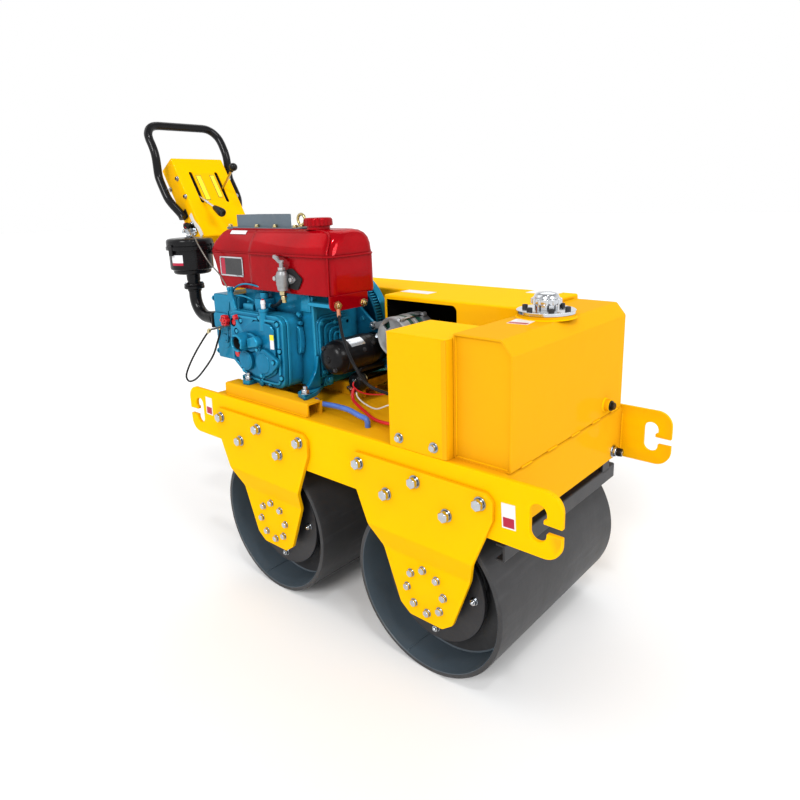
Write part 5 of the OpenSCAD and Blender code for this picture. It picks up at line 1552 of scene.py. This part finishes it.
def makeScrapers():
    bm = bmesh.new()
    for end in sides:
        lip = [(495, 365), (495, 405), (473, 405), (473, 400), (490, 400), (490, 370), (473, 370), (473, 365)]
        addPlate(bm, [(end * x, z) for x, z in lip], "y", -273, 273, 0.8, corners=[(4, [0, 1])], segments=1)
        for y in (-220, 220):
            addPlate(bm, [(y - 20, 398), (y - 20, 473), (y + 20, 473), (y + 20, 398)], "x", end * 489,
                     end * 495, 1)
    finishPiece("scraperBars", bm, "dark_steel", replaces=("scrapers",))
    bm = bmesh.new()
    for end in sides:
        for y in (-220, 220):
            addHex(bm, (end * 489, y, 455), (-end, 0, 0), 15, 7, washer=10)
    finishPiece("scraperBolts", bm, "zinc")


def makeMounts():  # discs, rubber buffers and bearing housings inside each leg
    discs, buffers, housings = bmesh.new(), bmesh.new(), bmesh.new()
    for axle in axles:
        for side in sides:
            centre, way = (axle, 0, axleHeight), (0, side, 0)
            addTurn(discs, [(0, 267), (68, 267), (70, 265), (70, 244), (73, 241), (142, 241), (143, 240),
                            (143, 232), (142, 231), (0, 231)],
                    centre, way, steps=72)
            addTurn(housings, [(0, 213), (128, 213), (130, 211), (130, 205), (128, 203), (62, 203), (54, 202),
                               (52, 190), (35, 188)],
                    centre, way, steps=72)
            addTurn(housings, [(35, 205), (35, 145), (0, 145)], centre, way, steps=40)
            for x, z in discBolts:
                place = (axle + x, 0, z)
                addTurn(buffers, [(0, 231), (22, 231), (22, 230), (20, 228), (19, 222), (20, 216), (22, 214),
                                  (22, 213), (0, 213)], place,
                        way, steps=28)
    finishPiece("bearingDiscs", discs, "dark_steel", replaces=("bearing_discs",))
    finishPiece("rubberBuffers", buffers, "rubber", replaces=("rubber_buffers",))
    finishPiece("bearingHousings", housings, "dark_steel", replaces=("bearing_housings",))


makeOilTank()
makeFiller()
makeBatteryBox()
makeGuard()
makeRails()
makeScrapers()
makeMounts()
print("tank, guard and mounts made")


# Handle: everything below is built in its own frame, x out of the face, y across, z up it
handleShape = {"deep": 20, "wide": 30, "pin": 10, "ear": 8, "faceX": 42, "backX": -34, "low": 511,
               "high": 812, "half": 99, "sheet": 3,
               "slots": (-49, 50), "slotHeights": (638, 758)}
barSide = [(-8, 113, 612), (-8, 114, 626), (-8, 122, 645), (-8, 132, 668), (-8, 138, 695), (-8, 138, 755),
           (-4, 138, 775), (8, 138, 798),
           (21, 138, 822), (28, 138, 845), (30, 138, 870), (30, 138, 890), (30, 134, 912), (30, 121, 932),
           (30, 103, 943), (30, 84, 946)]


def finishOnHandle(name, bm, finish, replaces=(), **facts):
    finishPiece(name, bm, finish, "handle", replaces, handleTurn, **facts)


def makeColumn():
    h = handleShape
    d, w = h["deep"], h["wide"]
    bm = bmesh.new()
    addPlate(bm, [(-d, -w), (d, -w), (d, w), (-d, w)], "z", -22, 631, corners=[(5, range(4))])
    for side in sides:
        addTurn(bm, [(14, side * 20), (19, side * 20), (19, side * (w + 5)), (18, side * (w + 5.7)),
                     (14, side * (w + 5.7))], (0, 0, 0),
                toFar, steps=36)
    finishOnHandle("handleColumn", bm, "yellow_paint", ("handle_column",))
    bm = bmesh.new()
    for side in sides:
        addRod(bm, (0, side * 10, 0), (0, side * (w + 22), 0), h["pin"], steps=28, edge=1)
        addRod(bm, (0, side * (w + 15), 0), (0, side * (w + 18), 0), 16, steps=32, edge=0.6)
    finishOnHandle("pivotPin", bm, "zinc")


def shadedConsoleInside(face):  # whether a face of the console looks into it; those faces are painted black as painted shade
    h = handleShape
    x, y, z = handleTurn.inverted() @ ((face.calc_center_median() - at(0, 0,
        0)) * 1000 + face.normal.normalized() * 2)
    t = h["sheet"] + 0.5
    return h["backX"] + t < x < h["faceX"] - t and abs(y) < h["half"] - t and h["low"] + t < z < h["high"] - t


def makeConsole():
    h = handleShape
    w, x0, x1, low, high, t = h["half"], h["backX"], h["faceX"], h["low"], h["high"], h["sheet"]
    box = bmesh.new()
    addBox(box, (x0, -w, low), (x1, w, high), 5, 4)
    inner = bmesh.new()
    addBox(inner, (x0 + t, -w + t, low + t), (x1 - t, w - t, high - t), 3, 2)
    bmesh.ops.reverse_faces(inner, faces=inner.faces)
    carve(box, inner)
    cutter = bmesh.new()
    for y in h["slots"]:
        z0, z1 = h["slotHeights"]
        addPlate(cutter, [(y - 6.5, z0), (y + 6.5, z0), (y + 6.5, z1), (y - 6.5, z1)], "x", x1 - 8, x1 + 8,
                 corners=[(6.3, range(4))])
    d, across = h["deep"] + 0.3, h["wide"] + 0.3
    addBox(cutter, (-d, -across, low - 5), (d, across, low + t + 2))
    carve(box, cutter)
    # the inside faces are painted black: painted shade inside the console and its slots
    finishOnHandle("console", box, ("yellow_paint", "black_plastic"), ("console",), smooth=42,
                paint=lambda f: int(shadedConsoleInside(f)))
    bm = bmesh.new()
    for x, z in ((32, 738), (-29, 734), (34, 668), (-29, 665)):
        for side in sides:
            addHex(bm, (x, side * w, z), (0, side, 0), 11, 5, washer=8)
    finishOnHandle("consoleBolts", bm, "zinc")
    for name, finish, lift, grow in (("consoleLabels", "labelBlack", 0, 0),
                                     ("consoleMarks", "labelYellow", 0.3, -3)):
        bm = bmesh.new()
        for y, z0, z1, wide in ((-24, 648, 744, 20), (29, 657, 745, 18)):
            a, b = (wide + grow) / 2, grow / 2
            addBox(bm, (x1 - 0.2, y - a, z0 - b), (x1 + 0.5 + lift, y + a, z1 + b))
        finishOnHandle(name, bm, finish)


def makeBar():
    half = smoothRoute([(x, -y, z) for x, y, z in barSide], 3)
    far = [Vector((p.x, -p.y, p.z)) for p in half]
    run = [handleTurn @ p for p in half + far[::-1]]
    piece = wireCurve("handlebar", [run], 27, "black_gloss", 6)
    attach(piece, "handle")
    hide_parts("handlebar")
    bm = bmesh.new()
    for side in sides:  # clamps that hold the bar to the console
        addBox(bm, (-20, min(side * 99, side * 104), 611), (4, max(side * 99, side * 104), 629), 2)
    finishOnHandle("barBrackets", bm, "black_gloss")


def makeLevers():
    pivot = Vector((20, 0, 687))
    rods, brassy, grips, balls = (bmesh.new() for _ in range(4))
    for y, angle, rod, grip in ((-49, 145, 116, 50), (50, 79, 110, 0)):
        way = Vector((math.sin(math.radians(angle)), 0, math.cos(math.radians(angle))))
        start = pivot + Vector((0, y, 0))
        bm = rods if grip else brassy
        addRod(bm, start, start + way * (rod + 4), 4, steps=24, edge=0.6)
        addTurn(bm, [(0, -14), (12, -14), (14, -12), (14, 12), (12, 14), (0, 14)], start, toFar, steps=28)
        if grip:
            addTurn(grips, [(0, rod - 1), (6.5, rod - 1), (8.5, rod + 2), (11, rod + 15), (13.5, rod + 32),
                            (14.5, rod + 42), (13.6, rod + 47),
                            (11, rod + grip), (5, rod + grip - 2), (0, rod + grip - 3)], start, way, steps=36)
            addTurn(bm, [(4, rod * 0.55), (5.5, rod * 0.56), (5.5, rod * 0.64), (4, rod * 0.65)], start, way,
                    steps=24)
        else:
            addTurn(balls, [(13.5 * math.sin(math.radians(a)),
                             rod + 13.8 - 13.5 * math.cos(math.radians(a))) for a in range(0, 181, 12)],
                    start, way, steps=32)
            addTurn(balls, [(4, rod - 6), (6.5, rod - 5), (6.5, rod + 3)], start, way, steps=24)
    finishOnHandle("leverRod", rods, "chrome", ("lever_rods",), slot="zinc")
    finishOnHandle("leverRodBrassy", brassy, "brass")
    finishOnHandle("leverGrip", grips, "black_plastic", ("lever_knobs",))
    finishOnHandle("leverBall", balls, "black_plastic")


def makeThrottle():
    bm = bmesh.new()
    addPlate(bm, [(-16, 541), (18, 541), (18, 585), (-16, 585)], "y", -99.2, -102.6, 0.8,
             corners=[(5, range(4))])
    addPlate(bm, [(-14, -101), (4, -101), (2, -122), (-2, -125), (-10, -125), (-14, -120)], "z", 561, 565,
             0.8, corners=[(3, [2, 3, 4, 5])])
    for x, z in ((-10, 547), (12, 547), (12, 579)):
        addHex(bm, (x, -102.6, z), toNear, 9, 4, washer=6)
    # bracket of the cable's end
    addPlate(bm, [(-34, 563), (-20, 560), (-16, 572), (-30, 590), (-58, 592), (-62, 584), (-44, 576)], "y",
             -101, -104.5, 0.8,
             corners=[(4, range(7))])
    addHex(bm, (-40, -104.5, 583), toNear, 10, 5, washer=7)
    finishOnHandle("throttlePlate", bm, "zinc", ("throttle_lever",))
    bm = bmesh.new()
    addTurn(bm, [(0, -1), (4, -1), (4, 5), (8, 7), (10, 11), (10, 20), (8.5, 24), (5, 26), (0, 26.5)],
            (-5, -115, 565), toTop, steps=32)
    finishOnHandle("throttleKnob", bm, "red_plastic")
    bm = bmesh.new()
    addTurn(bm, [(0, 0), (5, 0), (5, 4), (10, 6), (12, 10), (12, 18), (9, 22), (0, 23)], (-7, -104, 585),
            (0.3, -0.8, -0.5), steps=32)
    addPlate(bm, [(7, 640), (-20, 630), (-26, 612), (5, 608)], "y", -99.2, -103, 0.8, corners=[(4, range(4))])
    finishOnHandle("consoleBracket", bm, "black_plastic")
    bm = bmesh.new()
    route = smoothRoute([(20, 0, 609), (20, 0, 582), (27, 0, 562), (32, 0, 545), (32, 0, 520)], 4)
    band = [(p.x - 8, p.z) for p in route] + [(p.x + 8, p.z) for p in reversed(route)]
    addPlate(bm, band, "y", -99.2, -101.2, 0.5)
    finishOnHandle("bleedStrip", bm, "cable_white")


def makeBracket():  # ears that the handle turns between
    h = handleShape
    bm = bmesh.new()
    for side in sides:
        y0, y1 = side * (h["wide"] + 6), side * (h["wide"] + 6 + h["ear"])
        ear = bmesh.new()
        outline = [(-503, 520), (-503, 572), (-540, 572), (-566, 572), (-566, 520), (-540, 520)]
        addPlate(ear, outline, "y", y0, y1, corners=[(25, [3, 4])])
        cutter = bmesh.new()
        addRod(cutter, (-540, y0 - side * 2, 546), (-540, y1 + side * 2, 546), h["pin"] + 0.3, steps=32)
        carve(ear, cutter)
        bmesh.ops.recalc_face_normals(ear, faces=ear.faces)
        softenEdges(ear, sharpEdges(ear.verts, 60), 0.8, 1)
        addPart(bm, ear)
        for z in (519, 573):
            addWeld(bm, (-504, y0, z), (-504, y1, z), 2)
    finishPiece("handleBracket", bm, "yellow_paint", replaces=("handle_bracket",))


def makeStop():
    bm = bmesh.new()
    addPlate(bm, [(-590, 732), (-465, 762), (-465, 767), (-590, 737)], "y", -240, -216, 0.8)
    addPlate(bm, [(-505, 756), (-469, 764), (-471, 788), (-478, 793), (-490, 793), (-495, 788)], "y", -240,
             -236, 0.8,
             corners=[(4, [2, 3, 4, 5])])
    finishPiece("stopBracket", bm, "dark_steel", replaces=("stop_bracket",))
    bm = bmesh.new()
    x, z = -474, 779
    addTurn(bm, [(0, 250), (4, 250), (4, 234)], (x, 0, z), toNear, steps=20)
    for px, pz in spotsRound(x, z, 11.5, 6):
        addRod(bm, (px, -243, pz), (px, -256, pz), 5.5, steps=16, edge=1.2)
    addRod(bm, (x, -242, z), (x, -256, z), 12, steps=32, edge=1.2)
    addRod(bm, (x, -255, z), (x, -258, z), 6, 4.5, steps=24, edge=0.8)
    finishPiece("stopKnob", bm, "red_plastic", replaces=("stop_knob",))
    bm = bmesh.new()
    addHex(bm, (-574, -240, 736), toNear, 10, 4, washer=7)
    addTurn(bm, [(3, 0), (4.5, 1), (4.5, 14), (3, 15)], (-592, -228, 733), (-0.8, 0, -0.6), steps=16)
    addRod(bm, (-537, -228, 741), (-537, -228, 751), 4.5, steps=16, edge=0.6)
    finishPiece("stopFittings", bm, "brass")


makeColumn()
makeConsole()
makeBar()
makeLevers()
makeThrottle()
makeBracket()
makeStop()
print("handle made")


# The frame's own nodes that show take their finish and softened edges
def dressNodes():
    for name, node in frame["nodes"].items():
        node.data.materials.clear()
        node.data.materials.append(finishes[slotOf[name]])
        if node.hide_render:
            continue
        weld = node.modifiers.new("weld", "WELD")
        weld.merge_threshold = 0.00002
        soften = node.modifiers.new("soften", "BEVEL")
        soften.width = 0.0012
        soften.segments = 2
        soften.limit_method = "ANGLE"
        soften.angle_limit = math.radians(50)
        soften.harden_normals = True


dressNodes()
print("nodes dressed")


studio = {
    "floor": (0.82, 0.82, 0.82),
    # brightness from straight below to straight above
    "sky": [(0.0, 1.0), (0.70, 1.0), (0.86, 0.45), (1.0, 0.4)],
    "suns": [  # where each shines from, strength, softness in degrees
        ((500, -1600, 1300), 1.6, 20),
        ((1900, -100, 1200), 1.1, 25),
        ((-1500, -900, 1900), 0.35, 40),
        ((-600, 1500, 2000), 0.55, 40),
        ((700, -500, 1900), 0.35, 4),
    ],
}


def makeStudio():
    bm = bmesh.new()
    bmesh.ops.create_grid(bm, x_segments=1, y_segments=1, size=30)
    mesh = bpy.data.meshes.new("floor")
    bm.to_mesh(mesh)
    bm.free()
    floor = bpy.data.objects.new("floor", mesh)
    bpy.context.collection.objects.link(floor)
    mesh.materials.append(makeFinish("paleFloor", studio["floor"], 0.99, 1.5, (0.9, 0.95), shine=0.0))
    world = bpy.data.worlds.new("studio")
    bpy.context.scene.world = world
    world.use_nodes = True
    tree = world.node_tree
    direction = addNode(tree, "ShaderNodeTexCoord")
    split = addNode(tree, "ShaderNodeSeparateXYZ")
    tree.links.new(direction.outputs["Generated"], split.inputs["Vector"])
    height = addNode(tree, "ShaderNodeMapRange")
    height.inputs["From Min"].default_value = -1
    tree.links.new(split.outputs["Z"], height.inputs["Value"])
    tone = rampOf(tree, height.outputs["Result"], [(stop, (value,) * 3) for stop, value in studio["sky"]])
    tree.links.new(tone, tree.nodes["Background"].inputs["Color"])
    for i, (place, strength, softness) in enumerate(studio["suns"]):
        lamp = bpy.data.objects.new(f"sun{i}", bpy.data.lights.new(f"sun{i}", "SUN"))
        bpy.context.collection.objects.link(lamp)
        lamp.data.energy = strength
        lamp.data.angle = math.radians(softness)
        lamp.location = at(*place)
        lamp.rotation_euler = (-Vector(place)).to_track_quat("-Z", "Y").to_euler()
    bpy.context.scene.view_settings.view_transform = "Standard"


makeStudio()
print("studio ready")
